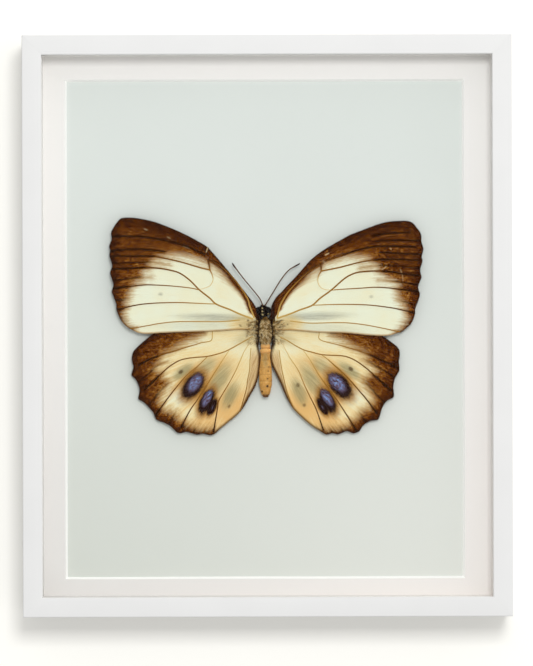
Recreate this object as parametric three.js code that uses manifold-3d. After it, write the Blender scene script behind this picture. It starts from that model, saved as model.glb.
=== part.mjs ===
// A framed butterfly specimen: a white painted shadow-box frame with a window mat, and a spread butterfly
// fixed to a pale sheet behind the glass. Millimetres, +Z up. The front faces -Y, and the back at y = 0 lies
// against the wall. The origin is the middle of the top rail's back face.

import * as THREE from 'three';
import { mergeVertices } from 'three/addons/utils/BufferGeometryUtils.js';
import Module from 'manifold-3d';

const wasm = await Module();
wasm.setup();

// Frame moulding
const FRAME_WIDTH = 146;
const FRAME_HEIGHT = 173.5;
const FRAME_DEPTH = 22;
const FACE_WIDTH = 5.75;
const LIP_WIDTH = 2.5;
const LIP_DEPTH = 2.5;
const BACK_WIDTH = FACE_WIDTH - LIP_WIDTH;

// Layers in the rabbet, from the lip to the back
const GLASS_THICKNESS = 2;
const SPACER_DEPTH = 4.5;
const MAT_THICKNESS = 1;
const SHEET_THICKNESS = 0.5;
const BOARD_THICKNESS = 5;
const PANEL_THICKNESS = 3;
const GLASS_FRONT = LIP_DEPTH - FRAME_DEPTH;
const GLASS_BACK = GLASS_FRONT + GLASS_THICKNESS;
const MAT_FRONT = GLASS_BACK + SPACER_DEPTH;
const SHEET_FRONT = MAT_FRONT + MAT_THICKNESS;
const BOARD_FRONT = SHEET_FRONT + SHEET_THICKNESS;
const PANEL_FRONT = BOARD_FRONT + BOARD_THICKNESS;
const PANEL_BACK = PANEL_FRONT + PANEL_THICKNESS;
const PLAY = 0.3;
const LAYER_WIDTH = FRAME_WIDTH - 2 * (BACK_WIDTH + PLAY);
const LAYER_HEIGHT = FRAME_HEIGHT - 2 * (BACK_WIDTH + PLAY);

// Window in the mat, cut a little left of and below the middle
const WINDOW_WIDTH = 120;
const WINDOW_HEIGHT = 150;
const WINDOW_BEVEL = 0.6;
const WINDOW_SHIFT_X = -0.75;
const WINDOW_SHIFT_Z = -1;

// Steel points that hold the layers
const POINT_LENGTH = 6;
const POINT_WIDTH = 5;
const POINT_THICKNESS = 0.5;
const POINT_SPREAD_X = 40;
const POINT_SPREAD_Z = 48;

// Sawtooth hanger on the back panel
const HANGER_WIDTH = 36;
const HANGER_HEIGHT = 7;
const HANGER_SHEET = 0.75;
const HANGER_RISE = 1.25;
const HANGER_TAB = 5;
const HANGER_RAMP = 1.5;
const HANGER_DROP = 14;
const TOOTH_COUNT = 9;
const TOOTH_PITCH = 2.4;
const TOOTH_DEPTH = 2;
const RIVET_HEAD_RADIUS = 1.8;
const RIVET_HEAD_HEIGHT = 0.7;
const RIVET_RADIUS = 0.9;
const RIVET_LENGTH = 2.5;

// Specimen: its own x and z start on the body's axis between the wing bases, and a height is measured from
// the sheet towards the viewer
const SPECIMEN_X = -0.56;
const SPECIMEN_Z = -1.28;
const WING_THICKNESS = 0.3;
const WING_ROOT_X = 1.9;
const WING_RINGS = [0.4, 0.75, 1];
const FOREWING_HEIGHT = 3.3;
const FOREWING_DROOP = 0.013;
const HINDWING_HEIGHT = 2.45;
const HINDWING_DROOP = 0.016;
const BODY_SIDES = 16;
const BODY_HEIGHT = 2.2;
const NECK_Z = 3.7;
const WAIST_Z = -4.2;
const THORAX_CENTRE_Z = -0.2;
const THORAX_HALF = { width: 2.7, height: 2.45, length: 4.6 };
const HEAD_CENTRE = { x: -0.45, z: 5.2 };
const HEAD_HALF = { width: 1.5, height: 1.6, length: 1.75 };
const HEAD_REACH = 5;
const EYE_RADIUS = 1.05;
const EYE_SPREAD = 0.95;
const EYE_LIFT = 0.3;
const PALP_RADIUS = 0.4;
const ANTENNA_RADIUS = 0.16;
const ANTENNA_CLUB = 0.26;
const LEG_RADIUS = 0.2;
const PIN_RADIUS = 0.25;
const PIN_TOP = 2.6;
const PIN_DEPTH = 4;
const THREAD_SIDES = 6;
const THREAD_STEPS = 3;
const TIP_SHARE = 0.5;
const ROUND_SIDES = 12;
const OVERSHOOT = 1;

// Wing outlines in x and z, from the upper end of the root along the leading edge to the apex, round the
// scalloped outer margin and back along the inner margin. The two sides of a real specimen differ a little.
const FOREWING_LEFT = [
  [-WING_ROOT_X, 2.9], [-2.6, 5.0], [-3.1, 6.5], [-4.7, 9.8], [-7.7, 13.7], [-10.7, 17.5],
  [-13.7, 21.1], [-16.4, 24.2], [-17.1, 25.0], [-19.7, 26.6], [-24.2, 29.0], [-28.7, 31.0],
  [-33.3, 32.7], [-37.8, 33.7], [-40.8, 34.0], [-43.3, 33.7], [-44.8, 32.2], [-46.1, 30.1],
  [-46.4, 29.0], [-46.2, 27.5], [-47.0, 25.1], [-46.7, 24.1], [-46.9, 22.3], [-46.1, 19.4],
  [-46.7, 17.2], [-45.7, 13.7], [-46.2, 11.6], [-44.9, 8.0], [-44.9, 6.6], [-43.6, 3.2], [-41.1, 0.2],
  [-40.3, -0.2], [-38.4, -1.1], [-36.0, -1.5], [-31.8, -1.3], [-24.2, -1.0], [-16.1, -0.8],
  [-8.0, -0.3], [-4.7, -0.3], [-WING_ROOT_X, 0.6],
];
const FOREWING_RIGHT = [
  [WING_ROOT_X, 2.9], [2.0, 4.8], [2.2, 6.9], [2.9, 8.6], [4.4, 11.1], [7.4, 14.4], [10.4, 17.6],
  [13.4, 21.0], [16.4, 23.4], [19.4, 25.3], [22.4, 27.0], [25.4, 28.6], [29.0, 30.0], [33.0, 31.5],
  [36.6, 32.5], [40.5, 32.8], [43.0, 32.7], [44.4, 32.1], [45.5, 30.8], [46.6, 29.3], [47.0, 28.0],
  [47.0, 26.5], [47.6, 24.2], [47.1, 21.9], [47.3, 20.5], [46.6, 17.8], [47.0, 15.7], [46.0, 12.9],
  [46.5, 10.3], [45.1, 6.3], [45.0, 4.5], [43.8, 1.7], [42.6, 0.2], [41.1, -1.0], [39.3, -1.6],
  [36.9, -2.2], [34.5, -2.3], [29.9, -2.0], [23.9, -1.4], [15.8, -1.2], [7.7, -0.5], [4.7, -0.5],
  [WING_ROOT_X, 0.6],
];
const HINDWING_LEFT = [
  [-WING_ROOT_X, -0.3], [-6.2, 1.1], [-12.2, 2.0], [-21.2, 2.3], [-28.7, 1.5], [-32.7, 0.0],
  [-34.8, -1.6], [-37.5, -3.9], [-39.6, -6.0], [-40.2, -7.5], [-40.2, -9.3], [-39.8, -11.0],
  [-40.4, -13.4], [-39.0, -15.0], [-38.0, -18.1], [-38.4, -20.6], [-36.7, -21.7], [-35.1, -23.3],
  [-33.8, -25.0], [-33.0, -26.9], [-30.9, -27.8], [-28.7, -28.9], [-26.9, -30.7], [-25.7, -31.1],
  [-23.8, -30.7], [-20.9, -31.5], [-18.8, -31.3], [-16.7, -31.7], [-15.2, -31.2], [-13.4, -29.6],
  [-10.7, -27.4], [-7.7, -24.8], [-5.6, -21.7], [-3.8, -17.9], [-2.6, -14.1], [-2.0, -10.5],
  [-2.0, -7.8], [-2.5, -5.1], [-2.5, -3.6], [-WING_ROOT_X, -2.3],
];
const HINDWING_RIGHT = [
  [WING_ROOT_X, -0.3], [6.2, 1.1], [12.2, 1.8], [21.2, 2.0], [28.7, 1.2], [33.0, -0.3], [36.4, -2.5],
  [38.7, -4.2], [40.2, -5.8], [40.5, -7.5], [40.2, -9.6], [40.3, -12.3], [39.1, -14.4], [38.5, -17.2],
  [38.7, -19.7], [38.2, -20.6], [36.6, -21.4], [35.1, -23.6], [34.3, -26.3], [33.6, -27.2],
  [31.5, -27.5], [29.2, -29.0], [28.3, -30.4], [26.3, -31.2], [24.4, -30.6], [21.8, -31.5],
  [20.0, -31.2], [18.2, -31.6], [16.4, -30.6], [13.7, -28.9], [11.0, -26.6], [8.3, -23.9], [6.2, -20.5],
  [4.7, -16.9], [3.3, -12.8], [1.9, -9.3], [1.8, -8.0], [2.1, -5.1], [2.6, -3.5], [WING_ROOT_X, -2.3],
];
const FOREWING_HUB = [4.5, 3];
const HINDWING_HUB = [4.5, -4];

// Abdomen: [z, radius] from the waist to the tip
const ABDOMEN_PROFILE = [
  [WAIST_Z, 1.5], [-5.4, 1.6], [-6.3, 1.45], [-7.6, 1.3], [-9.0, 1.45], [-10.8, 1.7], [-12.6, 1.87],
  [-14.4, 1.9], [-16.3, 1.8], [-17.5, 1.6], [-18.7, 1.27], [-19.6, 0.85], [-20.2, 0.3],
];

// Antennae, one palp and one side's legs: [x, height, z] along each one
const ANTENNA_LEFT = [
  [-0.75, 2.7, 7.3], [-1.8, 2.8, 9.6], [-4.1, 2.9, 12.5], [-6.8, 2.8, 15.8], [-9.2, 2.6, 19.0],
  [-9.9, 2.5, 20.1],
];
const ANTENNA_RIGHT = [
  [-0.15, 2.7, 7.3], [2.0, 2.8, 10.8], [4.7, 2.9, 15.1], [6.9, 2.8, 17.8], [8.9, 2.6, 19.1],
  [10.4, 2.5, 19.9],
];
const PALP = [[0.4, 2.4, 6.2], [0.5, 2.3, 7.0], [0.5, 2.0, 7.6]];
const LEGS = [
  [[1.0, 0.9, 1.2], [3.4, 1.3, 2.6], [5.2, 0.7, 0.6], [6.6, 0.3, -2.2]],
  [[1.0, 0.9, -1.4], [3.2, 1.2, -2.6], [4.6, 0.7, -5.2], [5.0, 0.3, -8.2]],
];

const material = (color, roughness, metalness = 0) =>
  new THREE.MeshStandardMaterial({ color, roughness, metalness });
const whitePaint = material(0xebebeb, 0.45);
const clearGlass = material(0xf4f8f6, 0.02);
clearGlass.transparent = true;
clearGlass.opacity = 0.15;
const matCard = material(0xeeecea, 0.9);
const paleSheet = material(0xdbe0dc, 0.9);
const foamBoard = material(0xf2f1ec, 0.85);
const hardboard = material(0x8a6a48, 0.8);
const steel = material(0xb8b8b4, 0.35, 1);
const wingScales = material(0xe2dcba, 0.8);
const bodyFur = material(0x8f7a5c, 0.95);
const abdomenScales = material(0xd9a35a, 0.85);
const darkChitin = material(0x1d1712, 0.5);

// Closed solid from points and triangles, with its faces turned outwards
function closedSolid(points, triangles) {
  let volume = 0;
  for (const [a, b, c] of triangles) {
    volume += points[a].dot(new THREE.Vector3().crossVectors(points[b], points[c]));
  }
  const index = volume > 0 ? triangles : triangles.map(([a, b, c]) => [a, c, b]);
  const geometry = new THREE.BufferGeometry().setFromPoints(points);
  geometry.setIndex(index.flat());
  return geometry;
}

// Two triangles of the four-cornered face a, b, c, d
const quad = (a, b, c, d) => [[a, b, c], [a, c, d]];

// Solid skin over rings with the same number of points, closed at each end by a point in the ring's middle
function loft(rings) {
  const sides = rings[0].length;
  const points = rings.flat();
  const triangles = [];
  for (let ring = 0; ring + 1 < rings.length; ring += 1) {
    for (let i = 0; i < sides; i += 1) {
      const next = (i + 1) % sides;
      const low = ring * sides;
      triangles.push(...quad(low + i, low + next, low + sides + next, low + sides + i));
    }
  }
  const middle = (ring) => ring.reduce((sum, p) => sum.add(p), new THREE.Vector3()).divideScalar(sides);
  const first = points.push(middle(rings[0])) - 1;
  const last = points.push(middle(rings[rings.length - 1])) - 1;
  const top = (rings.length - 1) * sides;
  for (let i = 0; i < sides; i += 1) {
    const next = (i + 1) % sides;
    triangles.push([first, next, i], [last, top + i, top + next]);
  }
  return closedSolid(points, triangles);
}

// Ring of points across the body at z, with half axes along x and y
function bodyRing(x, z, halfWidth, halfHeight) {
  return Array.from({ length: BODY_SIDES }, (_, i) => {
    const angle = (2 * Math.PI * i) / BODY_SIDES;
    return new THREE.Vector3(x + halfWidth * Math.cos(angle), halfHeight * Math.sin(angle) - BODY_HEIGHT, z);
  });
}

// Egg-shaped body along z
function bodyEgg(x, z, half, steps = 12) {
  const rings = [];
  for (let i = 1; i < steps; i += 1) {
    const angle = (Math.PI * i) / steps;
    const spread = Math.sin(angle);
    rings.push(bodyRing(x, z - half.length * Math.cos(angle), half.width * spread, half.height * spread));
  }
  return loft(rings);
}

// Tapered thread along points of [x, height, z]
function thread(route, radiusAt) {
  const curve = new THREE.CatmullRomCurve3(route.map(([x, height, z]) => new THREE.Vector3(x, -height, z)));
  const steps = THREAD_STEPS * (route.length - 1);
  const { normals, binormals } = curve.computeFrenetFrames(steps);
  const rings = [];
  for (let step = 0; step <= steps; step += 1) {
    const t = step / steps;
    const centre = curve.getPointAt(t);
    rings.push(Array.from({ length: THREAD_SIDES }, (_, i) => {
      const angle = (2 * Math.PI * i) / THREAD_SIDES;
      return centre.clone()
        .addScaledVector(normals[step], radiusAt(t) * Math.cos(angle))
        .addScaledVector(binormals[step], radiusAt(t) * Math.sin(angle));
    }));
  }
  return loft(rings);
}

// Radius that shrinks evenly towards a thread's tip
const taper = (radius) => (t) => radius * THREE.MathUtils.lerp(1, TIP_SHARE, t);

// Thin wing: rings from a hub near the root out to the smoothed outline, on both faces
function wing(outline, [hubX, hubZ], heightAt) {
  const corners = outline.map(([x, z]) => new THREE.Vector3(x, 0, z));
  const rim = new THREE.CatmullRomCurve3(corners, false, 'centripetal').getPoints(2 * (outline.length - 1));
  const hub = new THREE.Vector3(Math.sign(outline[1][0]) * hubX, 0, hubZ);
  const flat = [hub, ...WING_RINGS.flatMap((part) => rim.map((p) => hub.clone().lerp(p, part)))];
  const face = (shift) => flat.map(({ x, z }) => new THREE.Vector3(x, shift - heightAt(Math.abs(x), z), z));
  const points = [...face(-WING_THICKNESS / 2), ...face(WING_THICKNESS / 2)];
  const count = rim.length;
  const back = flat.length;
  const at = (ring, i) => 1 + ring * count + (i % count);
  const outer = WING_RINGS.length - 1;
  const triangles = [];
  for (let i = 0; i < count; i += 1) {
    const front = [[0, at(0, i), at(0, i + 1)]];
    for (let ring = 0; ring < outer; ring += 1) {
      front.push(...quad(at(ring, i), at(ring + 1, i), at(ring + 1, i + 1), at(ring, i + 1)));
    }
    const behind = front.map(([a, b, c]) => [back + a, back + c, back + b]);
    const edge = quad(at(outer, i), back + at(outer, i), back + at(outer, i + 1), at(outer, i + 1));
    triangles.push(...front, ...behind, ...edge);
  }
  return closedSolid(points, triangles);
}

// Boolean solids
function manifoldOf(geometry) {
  const bare = geometry.clone();
  bare.deleteAttribute('normal');
  bare.deleteAttribute('uv');
  const merged = mergeVertices(bare);
  const vertProperties = merged.attributes.position.array;
  const triVerts = Uint32Array.from(merged.index.array);
  return new wasm.Manifold(new wasm.Mesh({ numProp: 3, vertProperties, triVerts }));
}

function geometryOf(manifold) {
  const { vertProperties, triVerts } = manifold.getMesh();
  const geometry = new THREE.BufferGeometry();
  geometry.setAttribute('position', new THREE.BufferAttribute(vertProperties, 3));
  geometry.setIndex(new THREE.BufferAttribute(triVerts, 1));
  return geometry;
}

const joined = (...parts) => geometryOf(parts.map(manifoldOf).reduce((sum, part) => sum.add(part)));
const cut = (...parts) => geometryOf(parts.map(manifoldOf).reduce((rest, tool) => rest.subtract(tool)));
const shared = (...parts) => geometryOf(parts.map(manifoldOf).reduce((rest, part) => rest.intersect(part)));

// Box and rod given by their ends
function block([x0, x1], [y0, y1], [z0, z1]) {
  const box = new THREE.BoxGeometry(x1 - x0, y1 - y0, z1 - z0);
  return box.translate((x0 + x1) / 2, (y0 + y1) / 2, (z0 + z1) / 2);
}

function rodAlongY(x, z, radius, [y0, y1]) {
  return new THREE.CylinderGeometry(radius, radius, y1 - y0, ROUND_SIDES).translate(x, (y0 + y1) / 2, z);
}

// Group: positions are measured from the frame's middle, and the group's origin is on the top rail's back
const frame = new THREE.Group();
frame.position.z = -(FRAME_HEIGHT - BACK_WIDTH) / 2;

function add(name, geometry, look, parent = frame) {
  const mesh = new THREE.Mesh(geometry, look);
  mesh.name = name;
  parent.add(mesh);
  return mesh;
}

// Mitred bars: a profile of [inset from the outside, y] swept from corner to corner
const CORNERS = [[-1, 1], [1, 1], [1, -1], [-1, -1]];
const SIDES = ['top', 'right', 'bottom', 'left'];

function mitredBar(profile, [startX, startZ], [endX, endZ]) {
  const corner = (signX, signZ) => profile.map(([inset, y]) =>
    new THREE.Vector3(signX * (FRAME_WIDTH / 2 - inset), y, signZ * (FRAME_HEIGHT / 2 - inset)));
  const points = [...corner(startX, startZ), ...corner(endX, endZ)];
  const count = profile.length;
  const section = profile.map(([inset, y]) => new THREE.Vector2(inset, y));
  const ends = THREE.ShapeUtils.triangulateShape(section, []);
  const triangles = ends.flatMap(([a, b, c]) => [[a, c, b], [count + a, count + b, count + c]]);
  for (let i = 0; i < count; i += 1) {
    const next = (i + 1) % count;
    triangles.push(...quad(i, next, count + next, count + i));
  }
  return closedSolid(points, triangles);
}

const RAIL_PROFILE = [
  [0, -FRAME_DEPTH], [FACE_WIDTH, -FRAME_DEPTH], [FACE_WIDTH, GLASS_FRONT], [BACK_WIDTH, GLASS_FRONT],
  [BACK_WIDTH, 0], [0, 0],
];
const SPACER_PROFILE = [
  [BACK_WIDTH, GLASS_BACK], [FACE_WIDTH, GLASS_BACK], [FACE_WIDTH, MAT_FRONT], [BACK_WIDTH, MAT_FRONT],
];
SIDES.forEach((side, i) => {
  const next = CORNERS[(i + 1) % CORNERS.length];
  add(`frame_rail_${side}`, mitredBar(RAIL_PROFILE, CORNERS[i], next), whitePaint);
  add(`spacer_${side}`, mitredBar(SPACER_PROFILE, CORNERS[i], next), matCard);
});

// Plain layers
const LAYER_X = [-LAYER_WIDTH / 2, LAYER_WIDTH / 2];
const LAYER_Z = [-LAYER_HEIGHT / 2, LAYER_HEIGHT / 2];
add('glazing', block(LAYER_X, [GLASS_FRONT, GLASS_BACK], LAYER_Z), clearGlass);

// Mat: a closed ring through four rectangles, the opening's front edge wider than its back edge
function matRing() {
  const rectangle = (width, height, shiftX, shiftZ, y) => CORNERS.map(([signX, signZ]) =>
    new THREE.Vector3(shiftX + signX * width / 2, y, shiftZ + signZ * height / 2));
  const slope = 2 * WINDOW_BEVEL;
  const rings = [
    rectangle(LAYER_WIDTH, LAYER_HEIGHT, 0, 0, MAT_FRONT),
    rectangle(LAYER_WIDTH, LAYER_HEIGHT, 0, 0, SHEET_FRONT),
    rectangle(WINDOW_WIDTH - slope, WINDOW_HEIGHT - slope, WINDOW_SHIFT_X, WINDOW_SHIFT_Z, SHEET_FRONT),
    rectangle(WINDOW_WIDTH, WINDOW_HEIGHT, WINDOW_SHIFT_X, WINDOW_SHIFT_Z, MAT_FRONT),
  ];
  const triangles = [];
  rings.forEach((_, ring) => {
    const low = ring * CORNERS.length;
    const high = ((ring + 1) % rings.length) * CORNERS.length;
    CORNERS.forEach((__, i) => {
      const next = (i + 1) % CORNERS.length;
      triangles.push(...quad(low + i, low + next, high + next, high + i));
    });
  });
  return closedSolid(rings.flat(), triangles);
}
add('mat', matRing(), matCard);

// Sheet and board, pierced by the specimen's pin
const PIN_WORLD_Z = SPECIMEN_Z + THORAX_CENTRE_Z;
const PIN_TAIL = SHEET_FRONT + PIN_DEPTH;
const pinHole = rodAlongY(SPECIMEN_X, PIN_WORLD_Z, PIN_RADIUS + PLAY, [SHEET_FRONT - OVERSHOOT, PIN_TAIL]);
add('backing_sheet', cut(block(LAYER_X, [SHEET_FRONT, BOARD_FRONT], LAYER_Z), pinHole), paleSheet);
add('mount_board', cut(block(LAYER_X, [BOARD_FRONT, PANEL_FRONT], LAYER_Z), pinHole), foamBoard);

// Back panel, with blind holes for the hanger's rivets
const HANGER_Z = FRAME_HEIGHT / 2 - HANGER_DROP;
const RIVET_X = (HANGER_WIDTH - HANGER_TAB) / 2;
const RIVET_SEAT = PANEL_BACK + HANGER_SHEET;
const rivetHoles = [-1, 1].map((side) => rodAlongY(
  side * RIVET_X, HANGER_Z, RIVET_RADIUS + PLAY, [RIVET_SEAT - RIVET_LENGTH - PLAY, RIVET_SEAT + OVERSHOOT],
));
add('back_panel', cut(block(LAYER_X, [PANEL_FRONT, PANEL_BACK], LAYER_Z), ...rivetHoles), hardboard);

// Hanger: a strip bent up between its two tabs, with teeth cut in the raised part's lower edge
function hangerStrip() {
  const half = HANGER_WIDTH / 2;
  const bend = half - HANGER_TAB;
  const crest = bend - HANGER_RAMP;
  const shift = HANGER_SHEET / 2;
  const outline = [
    [-half, 0], [-bend, 0], [-crest, HANGER_RISE], [crest, HANGER_RISE], [bend, 0], [half, 0],
    [half, HANGER_SHEET], [bend - shift, HANGER_SHEET], [crest - shift, HANGER_RISE + HANGER_SHEET],
    [shift - crest, HANGER_RISE + HANGER_SHEET], [shift - bend, HANGER_SHEET], [-half, HANGER_SHEET],
  ];
  const shape = new THREE.Shape(outline.map(([x, y]) => new THREE.Vector2(x, y)));
  const strip = new THREE.ExtrudeGeometry(shape, { depth: HANGER_HEIGHT, bevelEnabled: false });
  return strip.translate(0, PANEL_BACK, HANGER_Z - HANGER_HEIGHT / 2);
}

function hangerTeeth() {
  const width = TOOTH_COUNT * TOOTH_PITCH;
  const outline = [[-width / 2, -TOOTH_DEPTH], [width / 2, -TOOTH_DEPTH], [width / 2, 0]];
  for (let tooth = 0; tooth < TOOTH_COUNT; tooth += 1) {
    const x = width / 2 - (tooth + 0.5) * TOOTH_PITCH;
    outline.push([x, TOOTH_DEPTH], [x - TOOTH_PITCH / 2, 0]);
  }
  const shape = new THREE.Shape(outline.map(([x, z]) => new THREE.Vector2(x, z)));
  const comb = new THREE.ExtrudeGeometry(shape, { depth: -PANEL_BACK, bevelEnabled: false });
  return comb.rotateX(Math.PI / 2).translate(0, 0, HANGER_Z - HANGER_HEIGHT / 2);
}
add('hanger', cut(hangerStrip(), hangerTeeth(), ...rivetHoles), steel);

// Rivet: shank and domed head, turned about y
function rivet(x) {
  const profile = [
    [0, -RIVET_LENGTH], [RIVET_RADIUS, -RIVET_LENGTH], [RIVET_RADIUS, 0], [RIVET_HEAD_RADIUS, 0],
    [RIVET_HEAD_RADIUS * 0.9, RIVET_HEAD_HEIGHT * 0.6], [RIVET_HEAD_RADIUS * 0.5, RIVET_HEAD_HEIGHT * 0.95],
    [0, RIVET_HEAD_HEIGHT],
  ];
  const turned = new THREE.LatheGeometry(profile.map(([r, y]) => new THREE.Vector2(r, y)), ROUND_SIDES);
  return turned.translate(x, RIVET_SEAT, HANGER_Z);
}
add('hanger_rivet_left', rivet(-RIVET_X), steel);
add('hanger_rivet_right', rivet(RIVET_X), steel);

// Points: flat tabs that stand in from the rabbet's wall over the back panel
function retainingPoint() {
  const half = POINT_WIDTH / 2;
  const shape = new THREE.Shape();
  shape.moveTo(0, -half);
  shape.lineTo(POINT_LENGTH - half, -half);
  shape.lineTo(POINT_LENGTH, 0);
  shape.lineTo(POINT_LENGTH - half, half);
  shape.lineTo(0, half);
  const tab = new THREE.ExtrudeGeometry(shape, { depth: POINT_THICKNESS, bevelEnabled: false });
  return tab.rotateX(-Math.PI / 2);
}
const WALL_X = FRAME_WIDTH / 2 - BACK_WIDTH;
const WALL_Z = FRAME_HEIGHT / 2 - BACK_WIDTH;
const POINT_PLACES = [1, -1].flatMap((side) => [
  [-WALL_X, side * POINT_SPREAD_Z, 0],
  [side * POINT_SPREAD_X, WALL_Z, 1],
  [WALL_X, side * POINT_SPREAD_Z, 2],
  [side * POINT_SPREAD_X, -WALL_Z, 3],
]);
POINT_PLACES.forEach(([x, z, quarterTurns], i) => {
  const point = add(`retaining_point_${i + 1}`, retainingPoint(), steel);
  point.position.set(x, PANEL_BACK, z);
  point.rotation.y = quarterTurns * Math.PI / 2;
});

// Specimen, measured from the sheet's front
const specimen = new THREE.Group();
specimen.position.set(SPECIMEN_X, SHEET_FRONT, SPECIMEN_Z);
frame.add(specimen);

const forewingHeight = (x) => FOREWING_HEIGHT - FOREWING_DROOP * (x - WING_ROOT_X);
const hindwingHeight = (x, z) => HINDWING_HEIGHT - HINDWING_DROOP * (Math.hypot(x, z) - WING_ROOT_X);
add('forewing_left', wing(FOREWING_LEFT, FOREWING_HUB, forewingHeight), wingScales, specimen);
add('forewing_right', wing(FOREWING_RIGHT, FOREWING_HUB, forewingHeight), wingScales, specimen);
add('hindwing_left', wing(HINDWING_LEFT, HINDWING_HUB, hindwingHeight), wingScales, specimen);
add('hindwing_right', wing(HINDWING_RIGHT, HINDWING_HUB, hindwingHeight), wingScales, specimen);

// Thorax with its folded legs: flat where the wings, head and abdomen meet it and where it lies on the sheet
const legs = LEGS.flatMap((route) => [1, -1].map((side) =>
  thread(route.map(([x, height, z]) => [side * x, height, z]), taper(LEG_RADIUS))));
const trunkBlock = block([-WING_ROOT_X, WING_ROOT_X], [-3 * BODY_HEIGHT, 0], [WAIST_Z, NECK_Z]);
const trunk = shared(bodyEgg(0, THORAX_CENTRE_Z, THORAX_HALF), trunkBlock);
const pinPocket = rodAlongY(0, THORAX_CENTRE_Z, PIN_RADIUS + PLAY, [-PIN_TOP, OVERSHOOT]);
add('thorax', cut(joined(trunk, ...legs), pinPocket), bodyFur, specimen);

// Head with its eyes and palps, flat at the neck
const eyes = [-1, 1].map((side) => new THREE.SphereGeometry(EYE_RADIUS, 10, 8)
  .translate(HEAD_CENTRE.x + side * EYE_SPREAD, -BODY_HEIGHT, HEAD_CENTRE.z + EYE_LIFT));
const palps = [-1, 1].map((side) => thread(
  PALP.map(([x, height, z]) => [HEAD_CENTRE.x + side * x, height, z]),
  taper(PALP_RADIUS),
));
const skull = bodyEgg(HEAD_CENTRE.x, HEAD_CENTRE.z, HEAD_HALF);
const headBlock = block([-HEAD_REACH, HEAD_REACH], [-2 * BODY_HEIGHT, 0], [NECK_Z, NECK_Z + HEAD_REACH]);
add('head', shared(joined(skull, ...eyes, ...palps), headBlock), darkChitin, specimen);

const abdomenRings = ABDOMEN_PROFILE.map(([z, radius]) => bodyRing(0, z, radius, radius));
add('abdomen', loft(abdomenRings), abdomenScales, specimen);

// Antennae thicken to a slim club near the tip
function antennaRadius(t) {
  const club = THREE.MathUtils.smoothstep(t, 0.8, 0.95);
  return ANTENNA_RADIUS + club * (ANTENNA_CLUB - ANTENNA_RADIUS);
}
add('antenna_left', thread(ANTENNA_LEFT, antennaRadius), darkChitin, specimen);
add('antenna_right', thread(ANTENNA_RIGHT, antennaRadius), darkChitin, specimen);

add('pin', rodAlongY(0, THORAX_CENTRE_Z, PIN_RADIUS, [-PIN_TOP, PIN_DEPTH]), steel, specimen);

export default frame;
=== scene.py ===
"""Looks of a framed butterfly specimen: frame, glass, window mat, pale sheet and a spread butterfly."""
import math

import bpy
import numpy as np
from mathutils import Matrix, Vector
from mathutils.geometry import delaunay_2d_cdt


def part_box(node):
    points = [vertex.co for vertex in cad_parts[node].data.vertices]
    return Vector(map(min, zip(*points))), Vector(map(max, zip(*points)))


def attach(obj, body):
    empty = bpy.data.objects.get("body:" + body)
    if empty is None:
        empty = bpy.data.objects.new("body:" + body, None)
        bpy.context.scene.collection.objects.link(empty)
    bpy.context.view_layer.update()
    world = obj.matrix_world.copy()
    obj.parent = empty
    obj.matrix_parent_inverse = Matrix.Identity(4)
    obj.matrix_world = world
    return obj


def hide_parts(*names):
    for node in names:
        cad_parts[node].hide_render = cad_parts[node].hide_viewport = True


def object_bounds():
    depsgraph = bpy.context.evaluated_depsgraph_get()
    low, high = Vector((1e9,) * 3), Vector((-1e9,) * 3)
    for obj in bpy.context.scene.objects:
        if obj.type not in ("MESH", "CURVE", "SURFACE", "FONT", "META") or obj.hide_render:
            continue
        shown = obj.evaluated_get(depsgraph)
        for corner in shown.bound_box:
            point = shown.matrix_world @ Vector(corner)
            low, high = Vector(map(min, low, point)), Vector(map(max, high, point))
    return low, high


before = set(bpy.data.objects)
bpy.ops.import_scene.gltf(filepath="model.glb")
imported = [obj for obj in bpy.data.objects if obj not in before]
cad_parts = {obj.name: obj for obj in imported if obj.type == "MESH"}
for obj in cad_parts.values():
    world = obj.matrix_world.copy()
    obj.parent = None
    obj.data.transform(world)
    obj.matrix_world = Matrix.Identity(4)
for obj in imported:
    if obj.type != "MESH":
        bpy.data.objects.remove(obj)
cad_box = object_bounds()

MM = 0.001
UP = np.array([0.0, -1.0, 0.0])

# Specimen: its own origin is on the body's axis between the wing bases, at the front of the sheet.
# Places on it are x to the right, h from the sheet towards the viewer and z up, in millimetres.
PIN_BELOW_ORIGIN = 0.2
pin_low, pin_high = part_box("pin")
sheet_low, sheet_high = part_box("backing_sheet")
ORIGIN = np.array([
    (pin_low.x + pin_high.x) / 2 / MM,
    sheet_low.y / MM,
    (pin_low.z + pin_high.z) / 2 / MM + PIN_BELOW_ORIGIN,
])

# Picture: the markings' places are given in its pixels
AXIS_PX = 265.5
AXIS_PY = 330.0
MM_PER_PX = 0.301

# Wings
WING_ROOT_X = 1.9
FOREWING_HEIGHT = 3.3
FOREWING_DROOP = 0.013
HINDWING_HEIGHT = 2.45
HINDWING_DROOP = 0.016
MEMBRANE = 0.2
WING_STEP = 0.22
VEIN_RIDGE = 0.1
VEIN_RIDGE_WIDTH = 0.6
FRINGE_STEP = 0.14
FRINGE_LENGTH = 0.26
FRINGE_WIDTH = (0.08, 0.14)
RIM_INSET = 0.2
BODY_EASE = 0.62

# Body
BODY_HEIGHT = 2.2


def colour(code):
    """Linear colour with alpha from a six-digit hex code."""
    parts = [int(code[i:i + 2], 16) / 255 for i in (0, 2, 4)]
    return [c / 12.92 if c <= 0.04045 else ((c + 0.055) / 1.055) ** 2.4 for c in parts] + [1.0]


# Node materials

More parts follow.
